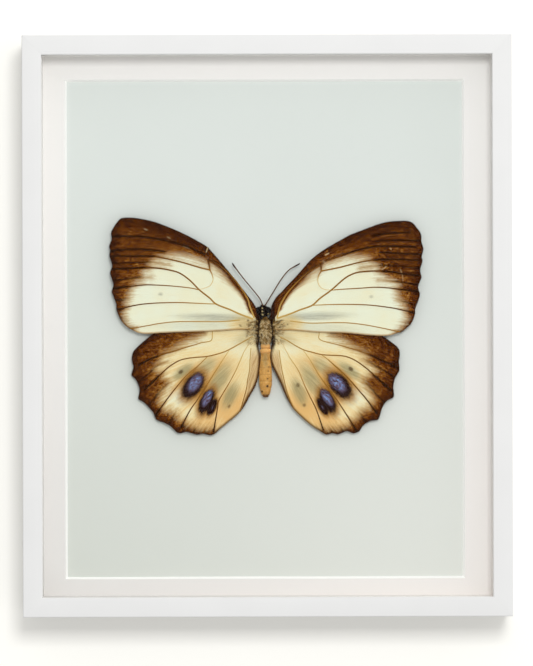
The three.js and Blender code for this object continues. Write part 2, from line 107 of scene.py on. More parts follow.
class Look:
    """One node material. Each method adds a node and returns its output socket."""

    def __init__(self, name):
        self.material = bpy.data.materials.new(name)
        self.material.use_nodes = True
        self.tree = self.material.node_tree
        self.shader = self.tree.nodes["Principled BSDF"]

    def node(self, kind, inputs, output=0, **settings):
        made = self.tree.nodes.new(kind)
        for key, value in settings.items():
            setattr(made, key, value)
        for key, value in inputs.items():
            self.feed(made.inputs[key], value)
        return made.outputs[output]

    def feed(self, socket, value):
        """Links another node's output, or sets a value. Text is a colour's hex code."""
        if isinstance(value, bpy.types.NodeSocket):
            self.tree.links.new(value, socket)
        else:
            socket.default_value = colour(value) if isinstance(value, str) else value

    def field(self, name, output="Fac"):
        return self.node("ShaderNodeAttribute", {}, output, attribute_name=name)

    def place(self):
        return self.node("ShaderNodeTexCoord", {}, "Object")

    def stretched(self, vector, scale):
        return self.node("ShaderNodeVectorMath", {0: vector, 1: scale}, operation="MULTIPLY")

    def noise(self, vector, scale, detail=4.0, roughness=0.55):
        inputs = {"Vector": vector, "Scale": scale, "Detail": detail, "Roughness": roughness}
        return self.node("ShaderNodeTexNoise", inputs, "Fac")

    def cells(self, vector):
        """A random colour for each of the cells, which are about 1 wide."""
        return self.node("ShaderNodeTexVoronoi", {"Vector": vector, "Scale": 1.0}, "Color")

    def maths(self, operation, a, b):
        return self.node("ShaderNodeMath", {0: a, 1: b}, operation=operation)

    def jitter(self, value, *parts):
        """value plus each amount times its noise, which is centred on a half."""
        for noise, amount in parts:
            inputs = {0: noise, 1: amount, 2: -0.5 * amount}
            value = self.maths("ADD", value, self.node("ShaderNodeMath", inputs, operation="MULTIPLY_ADD"))
        return value

    def step(self, value, low, high, bottom=0.0, top=1.0):
        inputs = {"Value": value, "From Min": low, "From Max": high, "To Min": bottom, "To Max": top}
        return self.node("ShaderNodeMapRange", inputs, interpolation_type="SMOOTHSTEP")

    def mix(self, factor, a, b):
        return self.node("ShaderNodeMix", {0: factor, 6: a, 7: b}, 2, data_type="RGBA")

    def ramp(self, factor, stops):
        made = self.tree.nodes.new("ShaderNodeValToRGB")
        for i, (place, code) in enumerate(stops):
            elements = made.color_ramp.elements
            element = elements[i] if i < 2 else elements.new(place)
            element.position = place
            element.color = colour(code)
        self.feed(made.inputs[0], factor)
        return made.outputs[0]

    def bump(self, height, strength, distance):
        inputs = {"Height": height, "Strength": strength, "Distance": distance}
        return self.node("ShaderNodeBump", inputs)

    def finish(self, **inputs):
        for key, value in inputs.items():
            self.feed(self.shader.inputs[key.replace("_", " ")], value)
        return self.material


def painted_wood():
    """White satin paint with a trace of the grain, and softly worn tone along it. The inner walls are painted
    whiter as a painted highlight, for light falling on them.
    """
    look = Look("painted_wood")
    grain = look.field("grain", "Vector")
    fibre = look.noise(look.stretched(grain, (0.05, 3.0, 1.0)), 1.0, 5.0)
    cloud = look.noise(grain, 0.06, 3.0)
    tone = look.mix(cloud, "dededd", "e4e4e3")
    tone = look.mix(look.step(fibre, 0.62, 0.8, 0.0, 0.35), tone, "d6d6d4")
    # Painted highlight: the inner walls, marked by the inner field, are painted near white to stand in for
    # light on them
    tone = look.mix(look.field("inner"), tone, "fefefd")
    rough = look.step(fibre, 0.2, 0.8, 0.5, 0.65)
    peel = look.noise(grain, 2.2, 2.0)
    relief = look.mix(0.5, fibre, peel)
    return look.finish(Base_Color=tone, Roughness=rough, Specular_IOR_Level=0.2,
                       Normal=look.bump(relief, 0.25, 0.00006))


# Painted shade: where a card turns from its left to its right tone, and from its own tone to the darker tone
# of its shaded foot, in metres
CARD_SHADE_SIDES = (-0.07, 0.07)
CARD_SHADE_FALL = (-0.03, -0.17)


def card(name, dark, light, fleck_share, shaded_foot=None):
    """Matt card or paper with fine fibres and slow changes of tone, and painted shade that darkens it towards
    its foot, most at the left.
    """
    look = Look(name)
    place = look.place()
    cloud = look.noise(place, 18.0, 3.0)
    fibre = look.noise(look.stretched(place, (1.0, 1.0, 0.35)), 2600.0, 4.0, 0.65)
    tone = look.mix(cloud, dark, light)
    if shaded_foot:
        x, z = (look.node("ShaderNodeSeparateXYZ", {0: place}, axis) for axis in (0, 2))
        # Painted shade: the tone darkens towards the foot, most at the lower left
        corner = look.mix(look.step(x, *CARD_SHADE_SIDES), *shaded_foot)
        tone = look.mix(look.step(z, *CARD_SHADE_FALL), tone, corner)
    fine = look.step(fibre, 0.3, 0.75, 0.0, fleck_share)
    tone = look.mix(fine, tone, dark)
    return look.finish(Base_Color=tone, Roughness=0.92, Specular_IOR_Level=0.15,
                       Normal=look.bump(fibre, 0.2, 0.00005))


def window_glass():
    """Clear pane that mirrors less than common glass."""
    look = Look("window_glass")
    return look.finish(Base_Color=(0.985, 0.995, 0.99, 1.0), Roughness=0.0, IOR=1.2, Transmission_Weight=1.0)


def pressed_board():
    """Brown hardboard: pressed fibres over a screen-pressed back."""
    look = Look("pressed_board")
    place = look.place()
    fibre = look.noise(look.stretched(place, (1.0, 1.0, 1.6)), 900.0, 6.0, 0.7)
    cloud = look.noise(place, 30.0, 4.0)
    screen = look.node("ShaderNodeTexChecker", {"Vector": place, "Scale": 900.0}, "Fac")
    tone = look.ramp(fibre, [(0.3, "6f5034"), (0.5, "8f6d49"), (0.72, "aa8a60")])
    tone = look.mix(look.step(cloud, 0.4, 0.75, 0.0, 0.35), tone, "7a5a3b")
    relief = look.mix(look.step(screen, 0.0, 1.0, 0.0, 0.35), fibre, (0.2, 0.2, 0.2, 1.0))
    return look.finish(Base_Color=tone, Roughness=look.step(fibre, 0.3, 0.7, 0.85, 0.6),
                       Normal=look.bump(relief, 0.6, 0.0002))


def zinc_steel():
    """Zinc-plated steel with rolling lines and dull patches."""
    look = Look("zinc_steel")
    place = look.place()
    lines = look.noise(look.stretched(place, (0.1, 1.0, 4.0)), 1400.0, 4.0, 0.6)
    patch = look.noise(place, 260.0, 4.0)
    tone = look.mix(patch, "a9a9a4", "c9c8c2")
    rough = look.jitter(look.step(patch, 0.3, 0.7, 0.26, 0.45), (lines, 0.12))
    return look.finish(Base_Color=tone, Metallic=1.0, Roughness=rough, Normal=look.bump(lines, 0.15, 0.00005))


# Shapes

class Shape:
    """Points, triangles and per-point fields gathered from the parts of one piece."""

    def __init__(self):
        self.points = []
        self.triangles = []
        self.materials = []
        self.fields = {}
        self.count = 0

    def add(self, points, triangles, material=0, **fields):
        self.points.append(points)
        self.triangles.append(np.asarray(triangles) + self.count)
        self.materials.append(np.full(len(triangles), material))
        for name, values in fields.items():
            self.fields.setdefault(name, []).append(np.asarray(values, float))
        self.count += len(points)

    def piece(self, name, looks, slot, *nodes, sharp=40.0):
        """Joins the parts in one object, in the row frame, that stands for the CAD nodes given."""
        mesh = bpy.data.meshes.new(name)
        mesh.from_pydata(np.vstack(self.points) * MM, [], np.vstack(self.triangles))
        for look in looks:
            mesh.materials.append(look)
        mesh.polygons.foreach_set("material_index", np.concatenate(self.materials).astype(np.int32))
        for field, parts in self.fields.items():
            values = np.concatenate(parts)
            kind = "FLOAT_VECTOR" if values.ndim == 2 else "FLOAT"
            key = "vector" if values.ndim == 2 else "value"
            layer = mesh.attributes.new(field, kind, "POINT")
            layer.data.foreach_set(key, values.astype(np.float32).ravel())
        mesh.shade_smooth()
        mesh.set_sharp_from_angle(angle=math.radians(sharp))
        made = bpy.data.objects.new(name, mesh)
        bpy.context.scene.collection.objects.link(made)
        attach(made, "root")
        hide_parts(*nodes)
        return made


def unit(vectors):
    """The same directions, each 1 long."""
    return vectors / np.linalg.norm(vectors, axis=1, keepdims=True)


def circle(sides):
    """Even angles round a circle."""
    return np.arange(sides) * 2 * math.pi / sides


def strip(low, high):
    """Triangles of the closed band between two rings of point numbers."""
    next_low, next_high = np.roll(low, -1), np.roll(high, -1)
    return np.vstack((np.column_stack((low, next_low, next_high)), np.column_stack((low, next_high, high))))


def loft(rings):
    """Points and triangles of a closed skin over rings with the same number of points."""
    rings = np.asarray(rings)
    count, sides = rings.shape[:2]
    numbers = np.arange(count * sides).reshape(count, sides)
    triangles = [strip(a, b) for a, b in zip(numbers[:-1], numbers[1:])]
    first, last = count * sides, count * sides + 1
    triangles.append(np.column_stack((numbers[0], np.full(sides, first), np.roll(numbers[0], -1))))
    triangles.append(np.column_stack((numbers[-1], np.roll(numbers[-1], -1), np.full(sides, last))))
    points = np.vstack((rings.reshape(-1, 3), rings[0].mean(0), rings[-1].mean(0)))
    return outward(points, np.vstack(triangles))


def outward(points, triangles):
    """The same skin with its triangles turned away from its middle."""
    a, b, c = (points[triangles[:, i]] - points.mean(0) for i in range(3))
    volume = np.einsum("ij,ij->i", a, np.cross(b, c)).sum()
    return points, triangles if volume > 0 else triangles[:, ::-1]


def smooth(points, spacing, closed=False):
    """Points about spacing apart on a Catmull-Rom curve through the given ones."""
    points = np.asarray(points, float)
    if closed:
        ends = np.vstack((points[-1:], points, points[:2]))
    else:
        ends = np.vstack((2 * points[0] - points[1], points, 2 * points[-1] - points[-2]))
    run = []
    for a, b, c, d in zip(ends[:-3], ends[1:-2], ends[2:-1], ends[3:]):
        steps = max(1, math.ceil(np.linalg.norm(c - b) / spacing))
        t = (np.arange(steps) / steps)[:, None]
        run.append(0.5 * (2 * b + (c - a) * t + (2 * a - 5 * b + 4 * c - d) * t**2
                          + (3 * b - a - 3 * c + d) * t**3))
    if not closed:
        run.append(points[-1:])
    return np.vstack(run)


def tube(path, radius, sides, flat=1.0):
    """Closed tube along a path, with a radius for each of its points; flat squeezes it towards the sheet."""
    along = unit(np.gradient(path, axis=0))
    across = unit(np.cross(along, UP))
    rise = np.cross(across, along)
    angle = circle(sides)
    ring = across[:, None] * np.cos(angle)[:, None] + flat * rise[:, None] * np.sin(angle)[:, None]
    return loft(path[:, None] + np.asarray(radius)[:, None, None] * ring)


def tube_owners(count, sides):
    """For each point of a tube, the number of its point on a path with count points."""
    return np.concatenate((np.repeat(np.arange(count), sides), [0, count - 1]))


def at(x, h, z):
    """Row-frame point, in millimetres, of places on the specimen."""
    x, h, z = np.broadcast_arrays(x, h, z)
    return np.stack((ORIGIN[0] + x, ORIGIN[1] - h, ORIGIN[2] + z), axis=-1)


def hairs(roots, tips, width, bend):
    """Closed three-sided hairs, bent by vectors: points, triangles and the number of each point's hair."""
    along = tips - roots
    across = unit(np.cross(along, UP + 0.01))
    rise = unit(np.cross(across, along))
    angle = circle(3)
    ring = across[:, None] * np.cos(angle)[:, None] + rise[:, None] * np.sin(angle)[:, None]
    half = np.asarray(width)[:, None, None] / 2
    base = roots[:, None] + ring * half
    middle = (roots + 0.55 * along + bend)[:, None] + ring * half * 0.7
    points = np.concatenate((base, middle, tips[:, None]), axis=1)
    one = np.array([
        [0, 2, 1], [0, 1, 4], [0, 4, 3], [1, 2, 5], [1, 5, 4], [2, 0, 3], [2, 3, 5],
        [3, 4, 6], [4, 5, 6], [5, 3, 6],
    ])
    count, size = points.shape[:2]
    triangles = (one[None] + (np.arange(count) * size)[:, None, None]).reshape(-1, 3)
    return points.reshape(-1, 3), triangles, np.repeat(np.arange(count), size)


# Flat geometry on the wings

def local(pixels):
    """Picture pixels as x and z on the specimen."""
    pixels = np.asarray(pixels, float)
    return np.column_stack((pixels[:, 0] - AXIS_PX, AXIS_PY - pixels[:, 1])) * MM_PER_PX


def distance(points, line):
    """Distance of each point from a polyline, and the share of its length at the nearest place."""
    best = np.full(len(points), 1e9)
    share = np.zeros(len(points))
    lengths = np.linalg.norm(np.diff(line, axis=0), axis=1)
    start = np.concatenate(([0.0], np.cumsum(lengths)))
    for a, b, before, length in zip(line[:-1], line[1:], start, lengths):
        t = np.clip((points - a) @ (b - a) / length**2, 0, 1)
        gap = np.linalg.norm(points - a - t[:, None] * (b - a), axis=1)
        near = gap < best
        best[near] = gap[near]
        share[near] = (before + t[near] * length) / start[-1]
    return best, share


def inside(points, loop):
    """Which points lie inside a closed loop."""
    result = np.zeros(len(points), bool)
    x, z = points.T
    for (ax, az), (bx, bz) in zip(loop, np.roll(loop, -1, axis=0)):
        if az != bz:
            result ^= ((az > z) != (bz > z)) & (x < (bx - ax) * (z - az) / (bz - az) + ax)
    return result


def blob(points, pixel, half, turn=0.0):
    """Relative radius of each point in a turned oval about a pixel: 1 on the oval. Sizes are in pixels."""
    offset = (points - local([pixel])[0]) / MM_PER_PX
    c, s = math.cos(math.radians(turn)), math.sin(math.radians(turn))
    x, z = offset.T
    return np.hypot((x * c + z * s) / half[0], (z * c - x * s) / half[1])


def fade(value, low, high):
    """Smooth step from 1 at low to 0 at high."""
    t = np.clip((value - low) / (high - low), 0, 1)
    return 1 - t * t * (3 - 2 * t)


def bell(gap, width):
    """1 at no gap, falling off over about the width."""
    return np.exp(-(gap / width) ** 2)


def rim_of(node):
    """Front rim of a CAD wing as a loop of x and z on the specimen."""
    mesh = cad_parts[node].data
    points = np.array([v.co for v in mesh.vertices]) / MM
    points, number = np.unique(np.round(points, 4), axis=0, return_inverse=True)
    number = number.ravel()
    edges = set()
    for face in mesh.polygons:
        if face.normal.y < -0.5:
            ring = [int(number[v]) for v in face.vertices]
            edges.update(zip(ring, ring[1:] + ring[:1]))
    after = {a: b for a, b in edges if (b, a) not in edges}
    loop = [min(after)]
    while after[loop[-1]] != loop[0]:
        loop.append(after[loop[-1]])
    return (points[loop] - ORIGIN)[:, [0, 2]]


# Wing markings, in the picture's pixels. brown is the inner edge of the dark margin, from the root along the
# leading edge to the trailing corner, and pale_side closes the loop round the pale part. A vein is its points
# from the root outwards, its first and last radius in millimetres and its first and last tone, from 0,
# golden, to 1, nearly black. A fold is a dark streak from its inner tip to the margin. Smudges are grey,
# spots dark, and warm and cool turn the pale part towards ochre or cream: each is a middle, half axes, turn
# and strength. rings and blues are the ovals of the eyespots, and a fourth value adds to the relative radius.
# A tear is a pale scratch and its strength. gold lists the veins with a golden band beside them, and tan and
# tan_side bound the inner fold. The values that both wings of a pair share come first: dark_lead darkens the
# leading edge, hem is the rim line's width in millimetres and its darkness, lift raises the lower edge, and
# base_warm is the warmth everywhere.

FOREWING = {"dark_lead": 1.0, "hem": (0.55, 0.0), "lift": 0.35}
HINDWING = {"base_warm": 0.46, "hem": (0.85, 0.95), "gold": [2, 3]}
FOREWING_LEFT = {
    **FOREWING,
    "brown": [
        (250, 312), (247, 306), (244.3, 300), (240.5, 294), (235, 288), (228.5, 280.5), (221.5, 271.5),
        (211.5, 263.5), (203, 260), (193, 256), (183, 254.5), (172, 254), (163, 255.5), (155, 258),
        (151, 263), (148, 268), (142, 272), (143, 277), (137, 281), (131, 286), (130, 292), (128, 298),
        (125, 304), (124, 311), (124.5, 318), (128, 325), (133, 330),
    ],
    "pale_side": [(133, 345), (255, 345), (256, 318)],
    "veins": [
        ([(253, 319), (240, 314), (230, 309.5), (216.5, 304), (210, 298), (200, 290), (190, 280),
          (180, 273), (170, 270), (160, 268.3), (150, 267.5), (140, 267.7),
          (112, 269)], 0.2, 0.16, 0.3, 1.0),
        ([(216.5, 304), (200, 303.3), (180, 302.4), (160, 302.7), (150, 303.3), (140, 304.3),
          (130, 306.3), (117, 309.5)], 0.12, 0.15, 0.35, 0.95),
        ([(200, 290), (190, 287.8), (170, 285.7), (150, 284.7), (140, 285.2),
          (114, 288)], 0.12, 0.15, 0.5, 1.0),
        ([(210.5, 270), (200, 267.5), (180, 261.6), (160, 257.3), (150, 256),
          (112, 256)], 0.18, 0.15, 0.6, 0.95),
        ([(200, 289.5), (205, 288), (210, 286), (213, 281.5), (213.5, 278)], 0.08, 0.1, 0.0, 0.2),
        ([(213.5, 278), (212, 273.5), (210.5, 270), (209, 262)], 0.1, 0.17, 0.3, 0.9),
        ([(240, 320), (220, 321.5), (180, 321.4), (160, 323.2), (150, 325),
          (129, 328.5)], 0.13, 0.12, 0.35, 0.6),
        ([(254.5, 318), (250, 306.5), (248.3, 300), (243.5, 291.5), (236, 281), (226, 270.5),
          (215, 262.5), (209, 260.5)], 0.2, 0.15, 0.32, 0.9),
        ([(205, 254.5), (200, 252), (180, 244), (160, 239.5), (140, 236.5),
          (112, 236.4)], 0.14, 0.14, 0.8, 1.0),
        ([(165, 251.5), (140, 249), (112, 250.5)], 0.1, 0.15, 0.9, 1.0),
    ],
    "folds": [
        [(170, 264.3), (150, 262), (140, 262.2), (112, 263.5)],
        [(152, 276.8), (140, 277), (130, 278.5), (113, 280)], [(130, 298.5), (120, 300), (115, 299)],
    ],
    "smudges": [
        ((217, 317.5), (38, 4.2), -2, 0.6), ((205, 326), (48, 5), 0, 0.32),
        ((161, 294), (2.4, 1.8), 0, 0.52), ((248, 325), (13, 9), 0, 0.45),
    ],
    "spots": [
        ((248.2, 320.3), (1.1, 0.9), 0, 0.8), ((249, 326), (1, 1.1), 0, 0.7),
        ((240.5, 325.5), (1.6, 0.8), -35, 0.6), ((251, 329.5), (1.6, 1), -30, 0.9),
        ((253.7, 330.7), (1.2, 1.2), 0, 1.0), ((255.4, 326), (1.8, 0.7), -45, 1.0),
    ],
    "warm": [((232, 291), (24, 17), -40, 0.15), ((244, 324), (15, 9), 0, 0.62)],
    "tears": [
        ([(208.5, 247), (206.8, 252)], 0.9), ([(145, 229), (148, 230)], 0.5),
        ([(168, 237), (171, 238.5)], 0.4), ([(184, 246), (190, 248.5)], 0.35),
    ],
}
FOREWING_RIGHT = {
    **FOREWING,
    "brown": [
        (280.5, 309), (284.5, 302), (290, 294.5), (297.5, 287), (305, 280), (312, 272.5), (320, 267),
        (325, 262.5), (332, 260), (340, 257.5), (350, 256), (360, 256.5), (368, 258), (373, 262),
        (377, 266), (380, 272), (386, 277), (392, 281), (398, 286), (398, 292), (400, 299), (404, 304),
        (407, 310), (407, 318), (404, 325), (400, 331), (397, 335),
    ],
    "pale_side": [(397, 350), (275, 350), (275, 318)],
    "veins": [
        ([(277, 318.5), (290, 314), (300, 310), (312, 305.5), (320, 298.5), (331, 290.5), (343, 280),
          (350, 275.5), (357, 273), (365, 272), (375, 271.5), (392, 272.3), (400, 274),
          (419, 276)], 0.2, 0.16, 0.3, 1.0),
        ([(312, 305.5), (330, 304.8), (350, 304.7), (370, 305.5), (390, 308), (400, 310),
          (415, 313.5)], 0.12, 0.15, 0.35, 0.95),
        ([(331, 290.5), (340, 289.7), (360, 288.6), (375, 287.7), (390, 288.6),
          (418, 292)], 0.12, 0.15, 0.5, 1.0),
        ([(321, 271.5), (340, 267.7), (360, 262.7), (380, 260), (400, 260),
          (420, 261)], 0.18, 0.15, 0.6, 0.95),
        ([(331, 290.5), (324, 289.5), (320, 287), (318, 283), (317.8, 279)], 0.08, 0.1, 0.0, 0.2),
        ([(317.8, 279), (319, 275), (321, 271.5), (321, 266)], 0.1, 0.17, 0.3, 0.9),
        ([(290, 321), (310, 323.2), (335, 322.8), (350, 323.3), (370, 326),
          (402, 332.7)], 0.13, 0.12, 0.35, 0.6),
        ([(277, 318), (280, 306.5), (283.1, 300), (288, 292.5), (296, 283.5), (306, 274), (315, 267.5),
          (322, 264)], 0.2, 0.15, 0.32, 0.9),
        ([(326, 261), (340, 256.5), (360, 250), (380, 246.8), (415, 247.5)], 0.14, 0.14, 0.8, 1.0),
        ([(380, 253), (391, 253.5), (420, 255)], 0.1, 0.15, 0.9, 1.0),
        ([(372, 236.5), (385, 234.5), (410, 233)], 0.08, 0.12, 0.85, 0.95),
        ([(375, 242), (388, 241), (420, 241)], 0.08, 0.12, 0.85, 0.95),
    ],
    "folds": [
        [(360, 268), (380, 266), (400, 267), (420, 269)], [(378, 280), (397, 282), (418, 285.5)],
        [(396, 299.5), (412, 305)],
    ],
    "smudges": [
        ((314, 316.5), (34, 4.2), 2, 0.6), ((322, 328), (46, 5), -4, 0.32),
        ((371, 297), (2.2, 1.7), 0, 0.52), ((283, 325), (13, 9), 0, 0.45),
    ],
    "spots": [
        ((281, 320.7), (2.6, 0.7), 12, 0.8), ((283.5, 326.5), (2.4, 0.8), 10, 0.6),
        ((287.5, 324.5), (0.9, 0.9), 0, 0.6), ((277, 329.7), (1.8, 0.8), 35, 0.9),
        ((279, 331.4), (0.8, 0.7), 0, 0.8), ((274.2, 325.8), (1.8, 0.7), 50, 1.0),
    ],
    "warm": [((298, 292), (24, 17), 40, 0.15), ((288, 324), (15, 9), 0, 0.62)],
    "tears": [
        ([(325.5, 255.3), (328.5, 253.8)], 1.0), ([(382, 270), (386, 267)], 0.6),
        ([(400, 270), (402, 275), (402.5, 281)], 0.35), ([(390, 248.5), (391, 250)], 0.5),
    ],
}
HINDWING_LEFT = {
    **HINDWING,
    "brown": [
        (205, 333), (195, 337), (185, 341), (175, 347), (165, 352), (160, 356), (161, 361), (155, 369),
        (162, 376), (168, 383), (163, 389.5), (160, 396), (160, 404), (164, 409.5), (170, 411.5),
        (174.5, 414.5), (181, 421), (190, 425.5), (200, 428.5), (213, 429.5), (219, 431.5),
    ],
    "pale_side": [(262, 432), (262, 320), (205, 320)],
    "veins": [
        ([(212.5, 330), (212.5, 335), (211, 340.5), (200, 343), (180, 349), (165, 353.5), (152, 358),
          (140, 364)], 0.1, 0.14, 0.3, 0.95),
        ([(253, 336), (240, 343.5), (230, 349), (222, 352.5), (208, 356), (197, 357), (188, 358),
          (180, 360), (172, 364.5), (165, 370), (153, 381.5), (145, 389)], 0.13, 0.15, 0.35, 0.95),
        ([(208, 356), (198, 365.5), (190, 372), (184, 378), (178, 385), (172, 392.5), (167, 399),
          (160, 408.5), (155, 415)], 0.1, 0.16, 0.42, 1.0),
        ([(230, 349), (222, 361), (213, 375), (208, 383), (203, 390), (197, 400), (190, 410),
          (181, 427)], 0.08, 0.16, 0.2, 1.0),
        ([(252, 340), (245, 350), (240, 361), (235, 372), (229, 383), (219, 400), (217.5, 408),
          (213.5, 431)], 0.08, 0.15, 0.05, 1.0),
        ([(251, 348), (250, 360), (249.5, 370), (247.5, 380), (246, 390),
          (240, 411)], 0.1, 0.12, 0.35, 0.7),
    ],
    "folds": [
        [(168, 360.5), (157, 366), (148, 374), (138, 382)], [(168.5, 383), (160, 391.5), (149, 404)],
        [(176, 410.5), (172, 418), (168.5, 425)], [(195.5, 426), (193, 432.5)],
        [(205.5, 430), (205.5, 433)],
    ],
    "smudges": [
        ((183, 371.5), (12, 5), 36, 0.8), ((207, 366), (11, 7), 40, 0.6), ((219, 380), (19, 8), 60, 0.7),
        ((230.5, 395.5), (14, 6.5), 63, 0.75), ((246, 338), (14, 7), 20, 0.4),
    ],
    "spots": [
        ((181, 371.5), (2.6, 1.8), 36, 0.8), ((229, 406), (2, 1.2), 60, 0.6),
        ((204, 390), (8.5, 0.9), 60, 0.9), ((190, 374.5), (13, 0.7), 46, 0.65),
    ],
    "warm": [
        ((203, 396), (30, 30), 0, 0.3), ((232, 410), (22, 24), 60, 0.45), ((205, 422), (26, 9), 0, 0.4),
        ((222, 366), (16, 24), 30, 0.2),
    ],
    "cool": [
        ((179, 396), (12, 12), 45, 0.42), ((192, 413), (9, 8), 30, 0.25), ((215, 345), (40, 8), -12, 0.2),
    ],
    "rings": [
        ((193.3, 385.3), (15, 8.6), 54), ((206.5, 401), (13.5, 6.2), 64), ((211.8, 406.3), (9, 4.2), 66),
    ],
    "blues": [
        ((195, 382.7), (10.8, 5.9), 54), ((207.3, 397.7), (9.6, 3.9), 62),
        ((212.6, 407), (6, 1.7), 63, 0.6),
    ],
    "tan": [(251, 348), (250, 360), (249.5, 370), (247.5, 380), (246, 390), (243, 400), (240, 411)],
    "tan_side": [(262, 413), (262, 346)],
}
HINDWING_RIGHT = {
    **HINDWING,
    "brown": [
        (330, 334.5), (340, 338), (350, 343.5), (358, 348.5), (365, 352.5), (369, 357), (367, 361),
        (376, 371), (368, 377), (363.5, 381.5), (367.5, 388), (372, 395), (373, 402), (370, 408),
        (363, 411), (359.5, 415), (354, 421), (348, 425.5), (340, 428), (330, 429.5), (319, 431.5),
    ],
    "pale_side": [(268, 432), (268, 320), (330, 320)],
    "veins": [
        ([(319, 329), (319, 333.5), (320.5, 340), (340, 345.5), (360, 351.5), (375, 357.5),
          (398, 368)], 0.1, 0.14, 0.3, 0.95),
        ([(280, 337), (288, 341), (296, 346), (304, 350), (313, 352.5), (321, 354.5), (330, 355.3),
          (340, 355.7), (347, 357), (354, 360), (361, 364.5), (368, 370), (375, 376.5),
          (390, 390)], 0.13, 0.15, 0.35, 0.95),
        ([(321, 354.5), (327, 359), (333, 364.5), (347, 377.5), (353, 384), (359, 391), (365, 398),
          (371, 406), (376, 413)], 0.1, 0.16, 0.42, 1.0),
        ([(303, 350), (308, 357), (313, 365), (318, 374), (323, 381), (328, 387), (334, 396), (340, 405),
          (352, 424), (356, 431)], 0.08, 0.16, 0.2, 1.0),
        ([(282, 343), (290, 358), (298, 370), (303, 382), (308, 393), (313, 403), (317, 412),
          (323, 430)], 0.08, 0.15, 0.05, 1.0),
        ([(279, 350), (281, 365), (284, 380), (287, 392), (293, 408)], 0.1, 0.12, 0.35, 0.7),
    ],
    "folds": [
        [(363, 358.5), (375, 366), (385, 371.5), (397, 380)], [(363, 380), (375.5, 394), (386, 404)],
        [(358.5, 411), (362, 417), (366, 424)], [(340, 426), (343.5, 432.5)],
        [(331.5, 429.5), (331.5, 433)],
    ],
    "smudges": [
        ((349.5, 371), (13, 5), -36, 0.8), ((321, 366), (11, 7), -40, 0.6),
        ((312, 381), (19, 8), -60, 0.7), ((299, 392), (14, 6.5), -68, 0.75),
        ((284, 338), (14, 7), -20, 0.4),
    ],
    "spots": [
        ((350.5, 369), (2.6, 1.8), -36, 0.8), ((297.7, 385), (1.8, 2.2), 0, 0.6),
        ((304, 405), (1.6, 1.6), 0, 0.6), ((329.2, 390), (9, 0.9), -54, 0.9),
        ((338.5, 369), (12, 0.7), -42, 0.65),
    ],
    "warm": [
        ((330, 396), (30, 30), 0, 0.3), ((297, 410), (22, 24), -60, 0.5), ((328, 422), (26, 9), 0, 0.4),
        ((308, 366), (16, 24), -30, 0.2),
    ],
    "cool": [
        ((354, 396), (12, 12), -45, 0.42), ((342, 412), (9, 8), -30, 0.25),
        ((316, 345), (40, 8), 12, 0.2),
    ],
    "rings": [
        ((339.3, 385.3), (15.4, 8.8), -50), ((327.3, 401), (13, 6.8), -62),
        ((322.3, 406.3), (9.4, 4.2), -62),
    ],
    "blues": [
        ((337, 383), (11.6, 6.2), -49), ((326.7, 397.7), (10, 4.3), -57),
        ((322.2, 407), (6, 1.7), -60, 0.6),
    ],
    "tan": [(279, 350), (281, 365), (284, 380), (287, 392), (291, 403), (293, 408)],
    "tan_side": [(265, 413), (265, 346)],
}

# Folds and veins, with widths in millimetres. A vein whose last tone is above DARK_VEIN darkens in the brown.
FOLD_TIP = -0.7
FOLD_END = 0.9
FOLD_WIDTH = 0.28
VEIN_CREASE_WIDTH = 0.34
VEIN_PULL = 1.0
VEIN_PULL_WIDTH = 0.55
VEIN_SIZE = 1.25
VEIN_SIDES = 6
VEIN_FLATNESS = 0.55
VEIN_TONE_POWER = 0.85
DARK_VEIN = 0.9
LINE_STEP = 0.7
RIDGE_STEP = 1.2


def forewing_height(x, z):
    """Height of the forewings above the sheet."""
    return FOREWING_HEIGHT - FOREWING_DROOP * (np.abs(x) - WING_ROOT_X)


def hindwing_height(x, z):
    """Height of the hindwings above the sheet."""
    return HINDWING_HEIGHT - HINDWING_DROOP * (np.hypot(x, z) - WING_ROOT_X)


def forewing_flow(points):
    """Coordinates across and along the veins, which fan out and then run level, and one for the side."""
    x, z = np.abs(points[:, 0]), points[:, 1]
    reach = 15 * (1 - np.exp(-x / 15))
    across = 14 * (z - 3 + 0.0012 * x**2) / (reach + 0.5)
    return np.column_stack((across, np.hypot(x, z), np.sign(points[:, 0]) * 7))


def hindwing_flow(points):
    """Coordinates across and along the veins, which fan out from the root, and one for the side."""
    x, z = np.abs(points[:, 0]), points[:, 1] + 1
    return np.column_stack((30 * np.arctan2(z, x), np.hypot(x, z), np.sign(points[:, 0]) * 13))


def ovals(points, entries, soft):
    """Strongest cover of several soft ovals of middle, half axes, turn and strength."""
    cover = [fade(blob(points, *entry[:3]), 1 - soft, 1 + soft) * entry[3] for entry in entries]
    return np.max(cover, axis=0) if cover else np.zeros(len(points))


def nearest(points, entries):
    """Relative radius of the nearest oval: below 1 inside. A fourth value, if any, adds to it."""
    radii = [blob(points, *entry[:3]) + sum(entry[3:]) for entry in entries]
    return np.min(radii, axis=0) if radii else np.full(len(points), 9.0)


def leading_edge(rim):
    """The part of a rim above the line from its innermost point to its highest."""
    reach = np.abs(rim[:, 0])
    root, tip = rim[reach.argmin()], rim[rim[:, 1].argmax()]
    above = rim[:, 1] - root[1] - (rim[:, 0] - root[0]) * (tip[1] - root[1]) / (tip[0] - root[0]) > -0.01
    first = np.flatnonzero(above & ~np.roll(above, 1))[0]
    return np.roll(rim, -first, axis=0)[:above.sum()]


def gap_to(points, pixels, spacing=LINE_STEP):
    """Distance of each point from a curve through pixels, and its share of the length there."""
    return distance(points, smooth(local(pixels), spacing))


def vein_tone(tone, end_tone, share):
    """Tone of a vein at a share of its length."""
    return tone + (end_tone - tone) * share**VEIN_TONE_POWER


